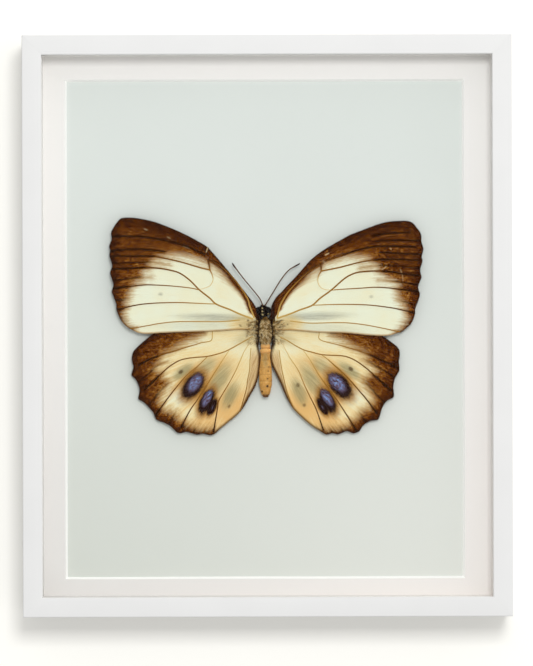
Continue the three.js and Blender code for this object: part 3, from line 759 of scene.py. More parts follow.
def markings(marks, points, rim, flow):
    """Fields of one wing's markings at points of x and z on the specimen."""
    edge, _ = distance(points, np.vstack((rim, rim[:1])))
    line = smooth(local(marks["brown"]), LINE_STEP)
    gap, _ = distance(points, line)
    pale = inside(points, np.vstack((line, local(marks["pale_side"]))))
    dark = np.where(pale, -gap, gap)
    crease = np.zeros(len(points))
    for fold in marks["folds"]:
        gap, share = gap_to(points, fold)
        dark = np.maximum(dark, FOLD_TIP + (FOLD_END - FOLD_TIP) * share - gap)
        crease = np.maximum(crease, bell(gap, FOLD_WIDTH) * (0.9 - 0.5 * fade(share, 0.0, 0.5)))
    pull = np.zeros(len(points))
    for line, _, _, tone, end_tone in marks["veins"]:
        gap, share = gap_to(points, line, RIDGE_STEP)
        scaled = bell(gap, VEIN_CREASE_WIDTH) * fade(dark, 1.2, -0.4) * vein_tone(tone, end_tone, share)
        crease = np.maximum(crease, scaled)
        pull = np.maximum(pull, VEIN_PULL * bell(gap, VEIN_PULL_WIDTH))
    dark = dark + pull
    tear = np.zeros(len(points))
    for scratch, strength in marks.get("tears", []):
        gap, _ = gap_to(points, scratch)
        tear = np.maximum(tear, fade(gap, 0.04, 0.22) * strength)
    warm = ovals(points, marks["warm"], 0.7) + marks.get("base_warm", 0.0)
    warm = warm - ovals(points, marks.get("cool", []), 0.7)
    gold = np.zeros(len(points))
    for number in marks.get("gold", []):
        gap, share = gap_to(points, marks["veins"][number][0])
        gold = np.maximum(gold, fade(gap, 0.1, 1.6) * fade(np.abs(share - 0.42), 0.12, 0.4))
    tan = np.zeros(len(points))
    if "tan" in marks:
        line = smooth(local(marks["tan"]), LINE_STEP)
        gap, _ = distance(points, line)
        tan = inside(points, np.vstack((line, local(marks["tan_side"])))) * (1 - fade(gap, 0.0, 0.5))
        tan = tan * fade(points[:, 1], -9.0, -4.5)
    lead, _ = distance(points, leading_edge(rim))
    hem_width, hem_shade = marks["hem"]
    deep_lead = 0.9 * fade(lead, 0.4, 5.0) * marks.get("dark_lead", 0.0)
    deep = np.maximum(deep_lead, 0.8 * fade(edge, 0.2, 3.2))
    return {
        "dark": dark, "crease": crease, "tear": tear, "warm": np.clip(warm, 0, 1), "tan": tan, "gold": gold,
        "edge": fade(edge, 0.15 * hem_width, hem_width), "hem": np.full(len(points), hem_shade), "deep": deep,
        "inner": fade(edge, 0.2, 1.0) * tan,
        # root: painted shade on the wing where it meets the body, for the shadow gap beside the thorax
        "root": fade(np.abs(points[:, 0]), 2.2, 3.4) * (1 - 0.65 * fade(points[:, 1], -7.5, -4.0)),
        "smudge": ovals(points, marks["smudges"], 0.75),
        "spot": ovals(points, marks["spots"], 0.5),
        "ring": nearest(points, marks.get("rings", [])),
        "blue": nearest(points, marks.get("blues", [])),
        "flow": flow(points),
    }


def membrane(rim):
    """Even triangles inside a rim: points of x and z, and triangles. The rim's points come first."""
    low, high = rim.min(0), rim.max(0)
    row = WING_STEP * math.sqrt(3) / 2
    x, z = np.meshgrid(np.arange(low[0], high[0], WING_STEP), np.arange(low[1], high[1], row))
    x[1::2] += WING_STEP / 2
    grid = np.column_stack((x.ravel(), z.ravel()))
    grid = grid[inside(grid, rim)]
    gap, _ = distance(grid, np.vstack((rim, rim[:1])))
    points = np.vstack((rim, grid[gap > 0.6 * WING_STEP]))
    made = delaunay_2d_cdt([Vector(p) for p in points], [], [list(range(len(rim)))], 1, 1e-6)
    return np.array([tuple(p) for p in made[0]]), np.array(made[2])


def out_of(loop):
    """Directions out of a closed loop that runs anticlockwise."""
    turn = np.roll(loop, -1, axis=0) - np.roll(loop, 1, axis=0)
    return unit(np.column_stack((turn[:, 1], -turn[:, 0])))


def trimmed(rim, lift):
    """The rim drawn in for the fringe but let out beside the body, with its lower edge lifted."""
    x, z = rim.T
    if np.sum(x * np.roll(z, -1) - np.roll(x, -1) * z) < 0:
        rim = rim[::-1]
    inset = RIM_INSET - BODY_EASE * fade(np.abs(rim[:, 0]), 2.6, 5.0)
    rim = rim - out_of(rim) * inset[:, None]
    rim[:, 1] += lift * fade(rim[:, 1], 0.0, 2.5)
    return rim


def build_wing(node, marks, height, flow, seed):
    """One wing: a thin relief-pressed membrane, raised veins and a fringe of scales along its margin."""
    rim = trimmed(smooth(rim_of(node), WING_STEP, closed=True), marks.get("lift", 0.0))
    paths = [smooth(local(vein[0]), WING_STEP) for vein in marks["veins"]]
    ridges = [smooth(local(vein[0]), RIDGE_STEP) for vein in marks["veins"]]

    def rise(points):
        ridge = np.max([bell(distance(points, line)[0], VEIN_RIDGE_WIDTH) for line in ridges], axis=0)
        return height(*points.T) + VEIN_RIDGE * (ridge - 0.5)

    wing = Shape()
    points, triangles = membrane(rim)
    count = len(points)
    h = rise(points)
    x, z = points.T
    both = np.vstack([at(x, h + side * MEMBRANE / 2, z) for side in (1, -1)])
    border = np.arange(len(rim))
    walls = strip(border, border + count)
    faces = np.vstack((triangles, triangles[:, ::-1] + count, walls))
    fields = {k: np.concatenate((v, v)) for k, v in markings(marks, points, rim, flow).items()}
    wing.add(*outward(both, faces), vein=np.zeros(2 * count), **fields)

    for path, (_, first, last, tone, end_tone) in zip(paths, marks["veins"]):
        path = path[inside(path, rim)]
        share = np.linspace(0, 1, len(path))
        h = rise(path) + MEMBRANE / 2
        radius = VEIN_SIZE * (first + (last - first) * share)
        skin, triangles = tube(at(path[:, 0], h, path[:, 1]), radius, VEIN_SIDES, VEIN_FLATNESS)
        owner = tube_owners(len(path), VEIN_SIDES)
        marked = markings(marks, path, rim, flow)
        shade = vein_tone(tone, end_tone, share)
        if end_tone > DARK_VEIN:
            shade = np.maximum(shade, 0.98 * fade(marked["dark"], 1.8, -0.6))
        fields = {k: v[owner] for k, v in marked.items()}
        wing.add(skin, triangles, vein=0.1 + 0.9 * shade[owner], **fields)

    rng = np.random.default_rng(seed)
    margin = smooth(rim, FRINGE_STEP, closed=True)
    away = np.abs(margin[:, 0]) > WING_ROOT_X + 1
    out = out_of(margin)[away]
    margin = margin[away]
    lean = rng.normal(0, 0.25, (len(margin), 2))
    ends = margin + (out + lean) * FRINGE_LENGTH * rng.uniform(0.4, 1.0, (len(margin), 1))
    starts = margin - 0.1 * out
    roots = at(starts[:, 0], rise(starts), starts[:, 1])
    tips = at(ends[:, 0], rise(starts) - rng.uniform(-0.05, 0.1, len(margin)), ends[:, 1])
    widths = rng.uniform(*FRINGE_WIDTH, len(margin))
    skin, triangles, owner = hairs(roots, tips, widths, np.zeros((len(margin), 3)))
    fields = {k: v[owner] for k, v in markings(marks, margin, rim, flow).items()}
    wing.add(skin, triangles, vein=np.zeros(len(skin)), **fields)
    return wing


def wing_scales():
    """Scaled wing membrane: cream and ochre, a feathered brown margin, eyespots, creases and veins, and
    painted shade beside the body.
    """
    look = Look("wing_scales")
    flow = look.field("flow", "Vector")
    place = look.stretched(look.place(), (1000.0, 1000.0, 1000.0))
    streak = look.noise(look.stretched(flow, (1.9, 0.08, 1.0)), 1.0, 3.0, 0.55)
    fine = look.noise(look.stretched(flow, (3.2, 0.35, 1.0)), 1.0, 4.0, 0.7)
    grain = look.cells(look.stretched(flow, (2.4, 1.5, 1.0)))
    speck = look.noise(place, 3.4, 4.0, 0.75)
    slow = look.noise(place, 0.12, 2.0)

    warm = look.jitter(look.field("warm"), (streak, 0.6), (fine, 0.4), (grain, 0.12))
    pale = look.mix(look.step(slow, 0.3, 0.7), "e1e4cc", "e2e0c1")
    pale = look.mix(look.step(warm, 0.0, 0.55), pale, "e5d3a0")
    pale = look.mix(look.step(warm, 0.35, 1.0), pale, "dbae6c")
    pale = look.mix(look.step(fine, 0.5, 0.8, 0.0, 0.3), pale, "d8c08e")
    pale = look.mix(look.maths("MULTIPLY", look.field("gold"), 0.7), pale, "cd953f")
    fold = look.ramp(look.jitter(0.5, (streak, 2.4), (fine, 1.6)), [(0.2, "a98552"), (0.8, "d9bd8c")])
    pale = look.mix(look.field("tan"), pale, fold)
    pale = look.mix(look.field("inner"), pale, "6a4318")
    smudge = look.maths("MULTIPLY", look.field("smudge"), look.jitter(1.1, (streak, 1.2), (fine, 1.2)))
    dust = look.mix(look.step(warm, 0.2, 0.6), "959484", "928a63")
    pale = look.mix(look.step(smudge, 0.0, 1.0, 0.0, 0.85), pale, dust)

    dark = look.field("dark")
    shade = look.step(dark, -0.5, 5.0, 0.68, 0.43)
    shade = look.jitter(shade, (streak, 0.35), (fine, 1.0), (grain, 0.45), (speck, 2.3))
    shade = look.maths("SUBTRACT", shade, look.maths("MULTIPLY", look.field("deep"), 0.27))
    brown = look.ramp(shade, [(0.1, "200800"), (0.36, "471d00"), (0.54, "643002"), (0.74, "875112"),
                              (1.0, "ac803f")])
    radius = look.node("ShaderNodeSeparateXYZ", {0: flow}, 1)
    crisp = look.step(radius, 10.0, 22.0, 3.0, 1.0)
    reach = look.jitter(look.maths("MULTIPLY", dark, crisp), (streak, 3.0), (fine, 1.6), (grain, 0.7))
    brownness = look.step(reach, -1.3, 1.4)
    tone = look.mix(look.step(reach, -2.7, -0.1, 0.0, 0.7), pale, "b08c58")
    tone = look.mix(brownness, tone, brown)
    tone = look.mix(look.field("crease"), tone, look.mix(brownness, "a67f46", "0c0300"))
    tone = look.mix(look.field("spot"), tone, "4a3114")
    # Painted shade: near black beside the body, for the shadow gap between the wing base and the thorax
    root = look.jitter(look.field("root"), (speck, 1.2))
    tone = look.mix(look.step(root, 0.2, 0.9, 0.0, 0.9), tone, "20100a")

    ring = look.jitter(look.field("ring"), (fine, 0.4), (grain, 0.16))
    tone = look.mix(look.step(ring, 1.75, 1.0, 0.0, 0.85), tone, "93601c")
    tone = look.mix(look.step(ring, 1.22, 0.82), tone, "23100a")
    blue = look.jitter(look.field("blue"), (fine, 1.2), (grain, 0.5))
    sky = look.ramp(look.jitter(0.5, (fine, 2.2), (grain, 0.8), (speck, 1.0)),
                    [(0.15, "33201f"), (0.4, "655060"), (0.6, "676183"), (0.85, "7f9fd0")])
    tone = look.mix(look.step(blue, 1.2, 0.62, 0.0, 0.95), tone, sky)

    rimmed = look.mix(look.maths("MAXIMUM", brownness, look.field("hem")), "a1712f", "2b1203")
    tone = look.mix(look.maths("MULTIPLY", look.field("edge"), 0.8), tone, rimmed)
    tone = look.mix(look.maths("MULTIPLY", look.field("tear"), 0.85), tone, "d3bb8b")
    vein = look.field("vein")
    rib = look.ramp(vein, [(0.1, "e0cb9e"), (0.35, "c6a45c"), (0.62, "966a2a"), (0.85, "5f380f"),
                           (1.0, "160800")])
    tone = look.mix(look.step(vein, 0.05, 0.1), tone, rib)
    relief = look.mix(0.5, fine, speck)
    rough = look.step(speck, 0.2, 0.8, 0.75, 0.95)
    return look.finish(Base_Color=tone, Roughness=rough, Specular_IOR_Level=0.02,
                       Normal=look.bump(relief, 0.35, 0.00008))


# Body

HEAD_X = -0.66
HEAD_Z = 5.62
THORAX_HALF = (1.8, 2.35, 4.4)
THORAX_Z = -0.2
SHOULDER_Z = 2.7
SHOULDER_X = 1.65
SHOULDER_HALF = (0.62, 0.9, 1.7)
HEAD_HALF = (1.5, 1.6, 1.65)
EYE_X = 1.38
EYE_HALF = (1.02, 1.2, 1.25)
ABDOMEN_HEIGHT = BODY_HEIGHT - 0.1
ABDOMEN_SIDES = 48
ABDOMEN_PROFILE = [
    (-3.9, 0.9), (-4.2, 1.25), (-4.6, 1.38), (-5.1, 1.36), (-5.45, 1.2), (-5.8, 1.56), (-6.2, 1.62),
    (-6.6, 1.48), (-6.9, 1.38), (-7.8, 1.36), (-9.0, 1.48), (-10.8, 1.72), (-12.6, 1.87), (-14.4, 1.9),
    (-16.3, 1.8), (-17.5, 1.6), (-18.7, 1.27), (-19.6, 0.85), (-20.2, 0.3),
]
ABDOMEN_JOINTS = [-5.42, -6.85, -9.0, -11.2, -13.3, -15.3, -17.1, -18.6]
ANTENNA_SIDES = 10
ANTENNA_LEFT = [
    (-0.75, 2.7, 7.3), (-1.8, 2.8, 9.6), (-4.1, 2.9, 12.5), (-6.8, 2.8, 15.8), (-9.2, 2.6, 19.0),
    (-9.9, 2.5, 20.1),
]
ANTENNA_RIGHT = [
    (-0.15, 2.7, 7.3), (2.0, 2.8, 10.8), (4.7, 2.9, 15.1), (6.9, 2.8, 17.8), (8.9, 2.6, 19.1),
    (10.4, 2.5, 19.9),
]
PALP = [(0.4, 2.4, 6.2), (0.5, 2.3, 7.0), (0.5, 2.0, 7.6)]
LEGS = [
    [(1.0, 0.9, 1.2), (3.4, 1.3, 2.6), (5.2, 0.7, 0.6), (6.6, 0.3, -2.2)],
    [(1.0, 0.9, -1.4), (3.2, 1.2, -2.6), (4.6, 0.7, -5.2), (5.0, 0.3, -8.2)],
]

# Dots on the head and, with a radius, on the abdomen, in the picture's pixels
HEAD_DOTS = [(262.4, 308.2), (262.4, 311.4), (262.8, 314.7), (268.3, 313.8)]
ABDOMEN_DOTS = [
    (268.7, 366.5, 0.6), (268.2, 370.8, 0.6), (267.5, 378.4, 0.8), (267.2, 385.7, 1.3), (262, 391, 0.9),
]

# Numbers of hairs
THORAX_HAIRS = 5200
SHOULDER_HAIRS = 500
FOREWING_BASE_HAIRS = 320
HINDWING_BASE_HAIRS = 110
# Near-black hairs at each wing root, painted shade for the gap between wing and thorax
SHADE_GAP_HAIRS = 340
HEAD_HAIRS = 1300
HEAD_DOT_HAIRS = 60
ABDOMEN_HAIRS = 2600


def egg(centre, half, rows=28, sides=36):
    """Closed egg: centre and half widths in x, h and z."""
    turn = circle(sides)[None]
    tilt = np.linspace(-math.pi / 2, math.pi / 2, rows + 2)[1:-1, None]
    x = centre[0] + half[0] * np.cos(tilt) * np.cos(turn)
    h = centre[1] + half[1] * np.cos(tilt) * np.sin(turn)
    return loft(at(x, h, centre[2] + half[2] * np.sin(tilt)))


def coat(shape, rng, roots, leans, length, width, tones):
    """Hairs from roots along leans, both on the specimen, with a tone each."""
    count = len(roots)
    tips = roots + unit(leans) * rng.uniform(*length, (count, 1))
    sideways = rng.normal(0, 0.06, count)
    back = -rng.uniform(0.0, 0.12, count)
    bend = np.column_stack((sideways, back, rng.normal(0, 0.06, count)))
    skin, triangles, owner = hairs(at(*roots.T), at(*tips.T), rng.uniform(*width, count), bend)
    shape.add(skin, triangles, tone=tones[owner])


def over(rng, count, centre, half, lowest=-0.3):
    """Random places on the upper part of an egg, and the directions out of it."""
    out = unit(rng.normal(0, 1, (count * 4, 3)))
    out = out[out[:, 1] > lowest][:count]
    return np.array(centre) + out * np.array(half) * 0.97, unit(out / np.array(half))


def clumps(rng, x, z, mean, spread, size=0.42):
    """Tones of hairs rooted at x and z: near ones share most of theirs."""
    shared = rng.normal(mean, spread, (64, 64))
    own = rng.normal(0, 0.4 * spread, len(x))
    return shared[np.floor(x / size).astype(int) % 64, np.floor(z / size).astype(int) % 64] + own


def dark_tones(rng, mean, spread, count):
    """Tones of dark hairs."""
    return np.clip(rng.normal(mean, spread, count), 0.0, 1)


def toned(shape, solid, tone):
    """Adds a solid's points and triangles in one tone."""
    points, triangles = solid
    shape.add(points, triangles, tone=np.full(len(points), tone))


def taper(points, spacing, radius, end_radius, sides):
    """Tube through points on the specimen whose radius shrinks evenly."""
    path = smooth(points, spacing)
    share = np.linspace(0, 1, len(path))
    return tube(at(*path.T), radius - (radius - end_radius) * share, sides)


def fur():
    """Dense short hair in mixed tones, from nearly black at 0 to cream at 1."""
    look = Look("fur")
    tone = look.jitter(look.field("tone"), (look.noise(look.place(), 1800.0, 3.0), 0.35))
    shade = look.ramp(tone, [(0.05, "160c05"), (0.3, "5e4018"), (0.55, "9f7b40"), (0.75, "cba96c"),
                             (1.0, "e8d6a8")])
    return look.finish(Base_Color=shade, Roughness=0.8, Specular_IOR_Level=0.12)


def ochre_scales():
    """Ochre scales on the abdomen, darker in its joints, with dark dots and a brown tip."""
    look = Look("ochre_scales")
    place = look.stretched(look.place(), (1000.0, 1000.0, 1000.0))
    scale = look.noise(place, 5.0, 3.0, 0.7)
    cloud = look.noise(place, 0.9, 3.0)
    tone = look.ramp(look.mix(0.5, scale, cloud), [(0.32, "ac762e"), (0.5, "ce9a4c"), (0.68, "e4b972")])
    grey = look.jitter(look.field("grey"), (scale, 3.0))
    tone = look.mix(look.step(grey, 0.1, 1.4, 0.0, 0.8), tone, "8d7c50")
    tone = look.mix(look.field("collar"), tone, "e6b169")
    tone = look.mix(look.step(look.field("joint"), 0.1, 1.0, 0.0, 0.4), tone, "8f6026")
    tone = look.mix(look.field("dot"), tone, "3d220c")
    tone = look.mix(look.field("tip"), tone, "6b4420")
    return look.finish(Base_Color=tone, Roughness=0.7, Specular_IOR_Level=0.35,
                       Normal=look.bump(scale, 0.5, 0.00008))


def dark_chitin():
    """Dark brown to black skin of the head and antennae; cream where tone is 1."""
    look = Look("dark_chitin")
    grain = look.noise(look.place(), 3000.0, 4.0)
    shade = look.ramp(look.jitter(look.field("tone"), (grain, 0.15)),
                      [(0.06, "070404"), (0.3, "4a2812"), (0.55, "906a2c"), (1.0, "ecdca4")])
    rough = look.step(grain, 0.3, 0.7, 0.45, 0.65)
    return look.finish(Base_Color=shade, Roughness=rough, Specular_IOR_Level=0.08,
                       Normal=look.bump(grain, 0.3, 0.00004))


def build_thorax():
    """Furry thorax with painted shade on its sides, dark shoulders, hair over the wing bases, near-black hair
    at the roots as painted shade, and folded legs.
    """
    rng = np.random.default_rng(11)
    body = Shape()
    centre = (0.0, BODY_HEIGHT, THORAX_Z)
    toned(body, egg(centre, THORAX_HALF), 0.3)
    roots, out = over(rng, THORAX_HAIRS, centre, THORAX_HALF)
    lean = 0.6 * out + np.array([0.0, 0.1, -0.85]) + rng.normal(0, 0.22, out.shape)
    x, z = roots[:, 0], roots[:, 2]
    tones = clumps(rng, x, z, 0.72, 0.27) + 0.2 * fade(np.hypot(x + 0.15, z + 0.3), 0.6, 1.6)
    tones -= 0.35 * fade(z, 4.2, 2.6)
    tones -= 0.35 * fade(np.hypot((x - 0.95) / 0.45, z / 1.4), 0.4, 1.2)
    tones -= 0.25 * fade(np.hypot((x - 0.1) / 0.35, (z - 2.6) / 1.3), 0.4, 1.2)
    # Painted shade: hairs on the thorax's sides, facing away from the front, are darker
    tones -= 0.6 * fade(out[:, 1], 0.0, 0.35)
    coat(body, rng, roots, lean, (0.4, 1.0), (0.05, 0.09), np.clip(tones, 0.02, 1))
    for side in (-1, 1):
        centre = (side * SHOULDER_X, BODY_HEIGHT + 0.1, SHOULDER_Z)
        toned(body, egg(centre, SHOULDER_HALF), 0.04)
        roots, out = over(rng, SHOULDER_HAIRS, centre, SHOULDER_HALF)
        lean = 0.7 * out + np.array([0.0, 0.1, -0.7]) + rng.normal(0, 0.25, out.shape)
        coat(body, rng, roots, lean, (0.3, 0.7), (0.06, 0.1), dark_tones(rng, 0.08, 0.08, len(roots)))
        for height, low, high, count in ((forewing_height, -1.2, 2.7, FOREWING_BASE_HAIRS),
                                         (hindwing_height, -4.2, -1.0, HINDWING_BASE_HAIRS)):
            x = 2.1 + 3.4 * rng.random(count) ** 2.2
            z = rng.uniform(low, high, count)
            roots = np.column_stack((side * x, height(x, z) + rng.uniform(0.05, 0.2, count), z))
            lean = np.column_stack((np.full(count, side), rng.normal(0.06, 0.05, count),
                                    0.25 * z + rng.normal(0, 0.45, count)))
            tones = np.clip(clumps(rng, x, z, 0.5, 0.28), 0.1, 1)
            coat(body, rng, roots, lean, (0.3, 1.2), (0.07, 0.13), tones)
        # Painted shade: near-black hairs along each wing root stand for the shadow gap between the wing base
        # and the thorax
        count = SHADE_GAP_HAIRS
        x = 1.9 + 1.0 * rng.random(count) ** 2.5
        z = rng.uniform(-4.4, 3.6, count)
        roots = np.column_stack((side * x, np.full(count, 3.35), z))
        lean = np.column_stack((np.full(count, 0.4 * side), rng.uniform(0.1, 0.7, count),
                                rng.normal(-0.3, 0.4, count)))
        coat(body, rng, roots, lean, (0.35, 0.8), (0.06, 0.1), dark_tones(rng, 0.06, 0.06, count))
        for leg in LEGS:
            toned(body, taper(np.array(leg) * (side, 1, 1), 0.2, 0.2, 0.1, 8), 0.25)
    return body


def build_head():
    """Dark head with eyes, palps, short hair and tufts of pale hair as dots."""
    rng = np.random.default_rng(12)
    head = Shape()
    centre = (HEAD_X, BODY_HEIGHT + 0.1, HEAD_Z)
    toned(head, egg(centre, HEAD_HALF), 0.08)
    for side in (-1, 1):
        toned(head, egg((HEAD_X + side * EYE_X, BODY_HEIGHT + 0.35, HEAD_Z + 0.15), EYE_HALF), 0.06)
        toned(head, taper(np.array(PALP) * (side, 1, 1) + (HEAD_X, 0, 0), 0.1, 0.4, 0.16, 10), 0.2)
    roots, out = over(rng, HEAD_HAIRS, centre, HEAD_HALF)
    lean = 0.8 * out + np.array([0.0, 0.2, 0.3]) + rng.normal(0, 0.3, out.shape)
    coat(head, rng, roots, lean, (0.25, 0.6), (0.05, 0.08), dark_tones(rng, 0.06, 0.05, len(roots)))
    for dot in local(HEAD_DOTS):
        count = HEAD_DOT_HAIRS
        place = dot + rng.normal(0, 0.1, (count, 2))
        reach = np.clip(1 - ((place - (HEAD_X, HEAD_Z)) / (2.0, 1.8)) ** 2 @ (1, 1), 0.15, 1)
        roots = np.column_stack((place[:, 0], BODY_HEIGHT + 0.2 + 1.7 * np.sqrt(reach), place[:, 1]))
        lean = np.column_stack((rng.normal(0, 0.3, count), np.ones(count), rng.normal(0, 0.3, count)))
        coat(head, rng, roots, lean, (0.12, 0.3), (0.06, 0.1), rng.uniform(0.65, 1.0, count))
    return head


def abdomen_zones(points):
    """Fields of the abdomen's bright collar, grey waist and brown tip at points of x and z."""
    x, z = points.T
    return {
        "collar": 0.8 * fade(z, -6.5, -7.1),
        "grey": fade(np.abs(x), 0.0, 1.7) * fade(np.abs(z + 8.6), 0.5, 5.5),
        "tip": fade(z, -19.6, -18.8),
    }


def abdomen_dots(points):
    """Cover of the abdomen's dark dots at points of x and z."""
    return np.max([fade(blob(points, (x, y), (size, size)), 0.4, 1.4) for x, y, size in ABDOMEN_DOTS], axis=0)


def build_abdomen():
    """Jointed abdomen under short scales."""
    rng = np.random.default_rng(13)
    body = Shape()
    z, radius = smooth(ABDOMEN_PROFILE, 0.1).T
    joint = np.max([bell(z - place, 0.16) for place in ABDOMEN_JOINTS], axis=0)
    radius = radius * (1 - 0.035 * joint)
    turn = circle(ABDOMEN_SIDES)[None]
    rings = at(radius[:, None] * np.cos(turn), ABDOMEN_HEIGHT + radius[:, None] * np.sin(turn), z[:, None])
    skin, triangles = loft(rings)
    flat = (skin - ORIGIN)[:, [0, 2]]
    front = skin[:, 1] < ORIGIN[1] - BODY_HEIGHT
    joints = joint[tube_owners(len(z), ABDOMEN_SIDES)]
    body.add(skin, triangles, joint=joints, dot=abdomen_dots(flat) * front, **abdomen_zones(flat))
    count = ABDOMEN_HAIRS
    pick = rng.integers(4, len(z) - 4, count)
    spin = rng.uniform(-0.3, math.pi + 0.3, count)
    out = np.column_stack((np.cos(spin), np.sin(spin), np.zeros(count)))
    roots = np.array([0.0, ABDOMEN_HEIGHT, 0.0]) + out * radius[pick, None] * 0.98
    roots[:, 2] = z[pick]
    lean = unit(0.28 * out + np.array([0.0, 0.0, -1.0]) + rng.normal(0, 0.12, out.shape))
    tips = roots + lean * rng.uniform(0.25, 0.55, (count, 1))
    widths = rng.uniform(0.05, 0.09, count)
    skin, triangles, owner = hairs(at(*roots.T), at(*tips.T), widths, np.zeros((count, 3)))
    flat = roots[:, [0, 2]]
    body.add(skin, triangles, joint=rng.uniform(0, 0.35, count)[owner], dot=abdomen_dots(flat)[owner],
             **abdomen_zones(flat[owner]))
    return body


def build_antenna(points):
    """Ringed antenna that swells to a club."""
    antenna = Shape()
    path = smooth(points, 0.07)
    share = np.linspace(0, 1, len(path))
    club = fade(share, 0.95, 0.8) * fade(share, 0.93, 1.02)
    length = np.concatenate(([0], np.cumsum(np.linalg.norm(np.diff(path, axis=0), axis=1))))
    ringed = np.cos(length * 2 * math.pi / 0.42)
    radius = 0.165 + 0.07 * club + 0.01 * ringed
    skin, triangles = tube(at(*path.T), radius, ANTENNA_SIDES)
    tone = 0.32 + 0.05 * ringed - 0.2 * fade(share, 0.97, 0.85)
    antenna.add(skin, triangles, tone=tone[tube_owners(len(path), ANTENNA_SIDES)])
    return antenna


# Frame

MITRE_GAP = 0.005
WINDOW = (120.0, 150.0)
WINDOW_SHIFT = (-0.75, -1.0)
BEVEL = 0.6
CUT_WOBBLE = 0.06
MAT_STEPS = 60
RIVET_SIDES = 32
RIVET_HEAD = 0.7
RIVET_RIM = 0.15


def rounded(corners, steps=5):
    """Outline of x and y corners, each rounded by its radius."""
    outline = []
    count = len(corners)
    for i, (x, y, radius) in enumerate(corners):
        here = np.array([x, y])
        before = np.array(corners[i - 1][:2]) - here
        after = np.array(corners[(i + 1) % count][:2]) - here
        if radius == 0:
            outline.append(here)
            continue
        start = here + radius * before / np.linalg.norm(before)
        end = here + radius * after / np.linalg.norm(after)
        for t in np.linspace(0, 1, steps):
            outline.append((1 - t) ** 2 * start + 2 * t * (1 - t) * here + t**2 * end)
    return np.array(outline)


def build_rail(number, profile):
    """One rail, mitred at both ends: profile is its section as inset from the outside and y."""
    (x0, _, z0), (x1, _, z1) = (np.array(corner) / MM for corner in cad_box)
    corners = np.array([(x0, z1), (x1, z1), (x1, z0), (x0, z0)])
    start, end = corners[number], corners[(number + 1) % 4]
    length = np.linalg.norm(end - start)
    along = (end - start) / length
    inward = np.array([along[1], -along[0]])
    inset, depth = profile.T
    first = start + along * (inset[:, None] + MITRE_GAP) + inward * inset[:, None]
    last = end - along * (inset[:, None] + MITRE_GAP) + inward * inset[:, None]
    count = len(profile)
    points = np.vstack([np.column_stack((ring[:, 0], depth, ring[:, 1])) for ring in (first, last)])
    _, sides = outward(points, strip(np.arange(count), np.arange(count) + count))
    made = delaunay_2d_cdt([Vector(p) for p in profile], [], [list(range(count))], 1, 1e-6)
    cap = np.array(made[2])
    around = np.concatenate(([0], np.cumsum(np.linalg.norm(np.diff(profile, axis=0), axis=1))))
    grain = np.vstack([np.column_stack((at_end, around, np.full(count, 40.0 * number)))
                       for at_end in (inset, length - inset)])
    faces = np.vstack((sides, facing(points, cap, -along), facing(points, cap + count, along)))
    rail = Shape()
    # inner marks the inner walls, which the paint turns whiter as a painted highlight
    rail.add(points, faces, grain=grain, inner=np.tile(inset > FACE - 0.01, 2))
    return rail


def facing(points, triangles, along):
    """Triangles turned so that they face along a direction of x and z."""
    a, b, c = (points[triangles[:, i]] for i in range(3))
    normal = np.cross(b - a, c - a)
    wrong = normal[:, 0] * along[0] + normal[:, 2] * along[1] < 0
    return np.where(wrong[:, None], triangles[:, ::-1], triangles)


def rectangle(low, high, steps):
    """Closed loop round a rectangle of x and z, with steps points a side."""
    corners = np.array([(low[0], high[1]), (high[0], high[1]), (high[0], low[1]), (low[0], low[1])])
    t = (np.arange(steps) / steps)[:, None]
    return np.vstack([a + (b - a) * t for a, b in zip(corners, np.roll(corners, -1, axis=0))])


def build_mat():
    """Window mat: faces in card, and a bevel cut through to its whiter core, a little unevenly."""
    low, high = (np.array(corner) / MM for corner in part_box("mat"))
    centre = np.array([(low[0] + high[0]) / 2, (low[2] + high[2]) / 2]) + WINDOW_SHIFT
    half = np.array(WINDOW) / 2
    steps = MAT_STEPS
    rng = np.random.default_rng(21)
    wave = smooth(rng.normal(0, 1, (24, 2)), 0.2, closed=True)
    wave = wave[np.linspace(0, len(wave) - 1, 4 * steps).astype(int)] * CUT_WOBBLE / 2
    loops = [
        (rectangle(low[[0, 2]], high[[0, 2]], steps), low[1]),
        (rectangle(centre - half, centre + half, steps) + wave, low[1]),
        (rectangle(centre - half + BEVEL, centre + half - BEVEL, steps) + wave, high[1]),
        (rectangle(low[[0, 2]], high[[0, 2]], steps), high[1]),
    ]
    count = 4 * steps
    points = np.vstack([np.column_stack((loop[:, 0], np.full(count, y), loop[:, 1])) for loop, y in loops])
    numbers = np.arange(4 * count).reshape(4, count)
    bands = [strip(numbers[i], numbers[(i + 1) % 4]) for i in range(4)]
    points, faces = outward(points, np.vstack(bands))
    mat = Shape()
    mat.add(points, faces)
    bevel_band = 1
    cut = [np.full(len(band), int(i == bevel_band)) for i, band in enumerate(bands)]
    mat.materials = [np.concatenate(cut)]
    return mat


def build_rivet(node):
    """Domed rivet head on the hanger, on its shank."""
    low, high = (np.array(corner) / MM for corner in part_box(node))
    x, z, radius = (low[0] + high[0]) / 2, (low[2] + high[2]) / 2, (high[0] - low[0]) / 2
    top, seat = high[1], high[1] - RIVET_HEAD
    tilt = np.linspace(0, math.pi / 2, 9)[:-1]
    profile = [(radius * 0.5, low[1]), (radius * 0.5, seat), (radius, seat)]
    rim = seat + RIVET_RIM
    profile += [(radius * math.cos(t), rim + (top - seat - RIVET_RIM) * math.sin(t)) for t in tilt]
    turn = circle(RIVET_SIDES)
    rings = [np.column_stack((x + r * np.cos(turn), np.full(RIVET_SIDES, y), z + r * np.sin(turn)))
             for r, y in profile]
    rivet = Shape()
    rivet.add(*loft(rings))
    return rivet


# Pieces

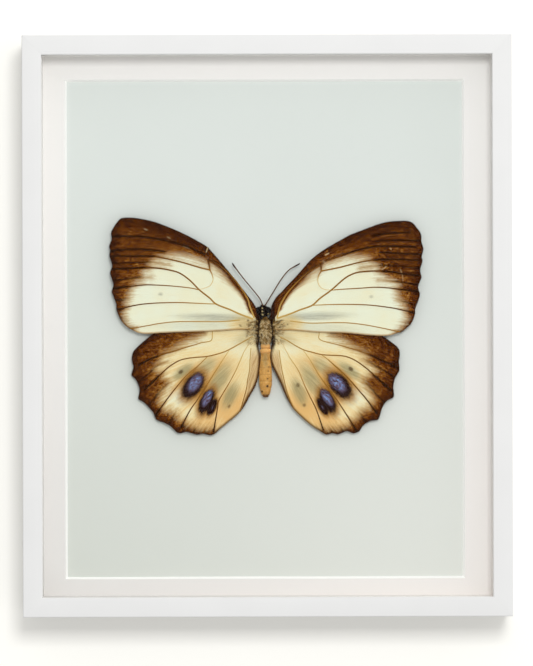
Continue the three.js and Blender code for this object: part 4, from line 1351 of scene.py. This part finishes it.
SIDES = ("top", "right", "bottom", "left")
paint = painted_wood()
# The mat card gets a painted shade towards its lower left
white_card = card("white_card", "e8e5e2", "eeece9", fleck_share=0.3, shaded_foot=("dedbd8", "ebe6e2"))
rail_low, rail_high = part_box("frame_rail_top")
FACE = (rail_high.z - rail_low.z) / MM
FRONT = rail_low.y / MM
RABBET_PLAY = 0.3
RABBET = (rail_high.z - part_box("spacer_top")[1].z) / MM - RABBET_PLAY
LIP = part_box("glazing")[0].y / MM
rail_profile = rounded([
    (0.0, FRONT, 0.3), (FACE, FRONT, 0.25), (FACE, LIP, 0.08), (RABBET, LIP, 0), (RABBET, 0.0, 0.15),
    (0.0, 0.0, 0.4),
])
for number, side in enumerate(SIDES):
    build_rail(number, rail_profile).piece(f"rail_{side}", [paint], "frame_paint", f"frame_rail_{side}")
mat_core = card("mat_core", "f6f5f2", "faf9f6", fleck_share=0.1)
build_mat().piece("window_mat", [white_card, mat_core], "mat_card", "mat", sharp=20.0)

scales = wing_scales()
WINGS = [
    ("forewing_left", FOREWING_LEFT, forewing_height, forewing_flow, 1),
    ("forewing_right", FOREWING_RIGHT, forewing_height, forewing_flow, 2),
    ("hindwing_left", HINDWING_LEFT, hindwing_height, hindwing_flow, 3),
    ("hindwing_right", HINDWING_RIGHT, hindwing_height, hindwing_flow, 4),
]
for node, marks, height, flow, seed in WINGS:
    wing = build_wing(node, marks, height, flow, seed)
    wing.piece(f"{node}_scaled", [scales], "wing_scales", node, sharp=60.0)

chitin = dark_chitin()
build_thorax().piece("thorax_fur", [fur()], "body_fur", "thorax")
build_head().piece("head_dark", [chitin], "dark_chitin", "head")
build_abdomen().piece("abdomen_ochre", [ochre_scales()], "abdomen_scales", "abdomen")
for side, route in (("left", ANTENNA_LEFT), ("right", ANTENNA_RIGHT)):
    antenna = build_antenna(route)
    antenna.piece(f"antenna_ringed_{side}", [chitin], "dark_chitin", f"antenna_{side}", sharp=60.0)

steel = zinc_steel()
for side in ("left", "right"):
    build_rivet(f"hanger_rivet_{side}").piece(f"rivet_{side}", [steel], "steel", f"hanger_rivet_{side}")

# The sheet gets a painted shade towards its lower left
sheet = card("sheet_paper", "d2d7d2", "dadfdb", fleck_share=0.35, shaded_foot=("cdd0c8", "dbdcd5"))
foam = card("foam_board", "f0efeb", "f6f5f1", fleck_share=0.2)
hardboard = pressed_board()
pane = window_glass()
KEPT = {
    "glazing": pane, "backing_sheet": sheet, "mount_board": foam, "back_panel": hardboard,
    "hanger": steel, "pin": steel,
}
KEPT.update({f"spacer_{side}": white_card for side in SIDES})
KEPT.update({f"retaining_point_{number}": steel for number in range(1, 9)})
for node, look in KEPT.items():
    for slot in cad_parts[node].material_slots:
        slot.material = look
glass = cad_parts["glazing"]
glass.visible_shadow = False
glass.visible_diffuse = False


# Wall, light and camera

def wall_paint():
    """Warm white wall, seen only from the front."""
    look = Look("wall_paint")
    back = look.node("ShaderNodeNewGeometry", {}, "Backfacing")
    look.finish(Base_Color=(1.0, 0.99, 0.94, 1.0), Roughness=1.0, Specular_IOR_Level=0.0)
    clear = look.node("ShaderNodeBsdfTransparent", {})
    output = look.tree.nodes["Material Output"]
    sided = look.node("ShaderNodeMixShader", {0: back, 1: look.shader.outputs[0], 2: clear})
    look.feed(output.inputs["Surface"], sided)
    return look.material


def panel(name, y, half, look, hidden_from):
    """Upright rectangle about the frame's middle, facing forwards, that some kinds of rays pass by."""
    mesh = bpy.data.meshes.new(name)
    signs = ((-1, -1), (1, -1), (1, 1), (-1, 1))
    corners = [(middle.x + x * half[0], y, middle.z + z * half[1]) for x, z in signs]
    mesh.from_pydata(corners, [], [(0, 1, 2, 3)])
    mesh.materials.append(look)
    made = bpy.data.objects.new(name, mesh)
    for ray in hidden_from:
        setattr(made, f"visible_{ray}", False)
    bpy.context.scene.collection.objects.link(made)
    return made


middle = (cad_box[0] + cad_box[1]) / 2
WALL_HALF = (1.5, 1.5)
WALL_GAP = 0.0005
wall = panel("wall", WALL_GAP, WALL_HALF, wall_paint(), ("shadow", "diffuse", "glossy"))

# Even white room that is brighter towards the upper right
ROOM_LIGHT = 0.735
ROOM_TILT = (0.17, 0.0, 0.14)
world = bpy.data.worlds.new("studio")
world.use_nodes = True
room = world.node_tree
tilt = room.nodes.new("ShaderNodeVectorMath")
tilt.operation = "DOT_PRODUCT"
tilt.inputs[1].default_value = ROOM_TILT
room.links.new(room.nodes.new("ShaderNodeTexCoord").outputs["Generated"], tilt.inputs[0])
strength = room.nodes.new("ShaderNodeMath")
strength.inputs[1].default_value = ROOM_LIGHT
room.links.new(tilt.outputs["Value"], strength.inputs[0])
room.nodes["Background"].inputs["Color"].default_value = (1.0, 1.0, 1.0, 1.0)
room.links.new(strength.outputs[0], room.nodes["Background"].inputs["Strength"])
bpy.context.scene.world = world
bpy.context.scene.view_settings.view_transform = "Standard"


def area_light(name, turn, lift, away, size, power):
    """Soft square light aimed at the frame's middle: turn to the right and lift above level, in degrees."""
    data = bpy.data.lights.new(name, "AREA")
    data.size = size
    data.energy = power
    made = bpy.data.objects.new(name, data)
    turn, lift = math.radians(turn), math.radians(lift)
    from_middle = Vector((math.sin(turn) * math.cos(lift), -math.cos(turn) * math.cos(lift), math.sin(lift)))
    made.location = middle + from_middle * away
    made.rotation_euler = from_middle.to_track_quat("Z", "Y").to_euler()
    bpy.context.scene.collection.objects.link(made)


area_light("key", turn=6.4, lift=15.8, away=1.2, size=0.28, power=5.7)
area_light("back_fill", turn=160, lift=30, away=1.2, size=0.6, power=6.0)

# Black card behind the camera, which the glass mirrors instead of the bright room
CARD_HALF = (0.19, 0.22)
CARD_AWAY = 1.12
black = Look("black_card").finish(Base_Color=(0.0, 0.0, 0.0, 1.0), Specular_IOR_Level=0.0)
flag = panel("black_card", -CARD_AWAY, CARD_HALF, black, ("camera", "diffuse", "shadow", "transmission"))

CAMERA_PLACE = (-0.25, -1022.0, -87.295)
CAMERA_ROLL = 0.15
PICTURE_HEIGHT = 198.4
PICTURE_AWAY = 1000.0
lens = bpy.data.cameras.new("camera")
lens.sensor_width = 36.0
lens.lens = lens.sensor_width * PICTURE_AWAY / PICTURE_HEIGHT
camera = bpy.data.objects.new("camera", lens)
camera.location = [c * MM for c in CAMERA_PLACE]
camera.rotation_euler = (math.radians(90), math.radians(CAMERA_ROLL), 0)
bpy.context.scene.collection.objects.link(camera)
bpy.context.scene.camera = camera
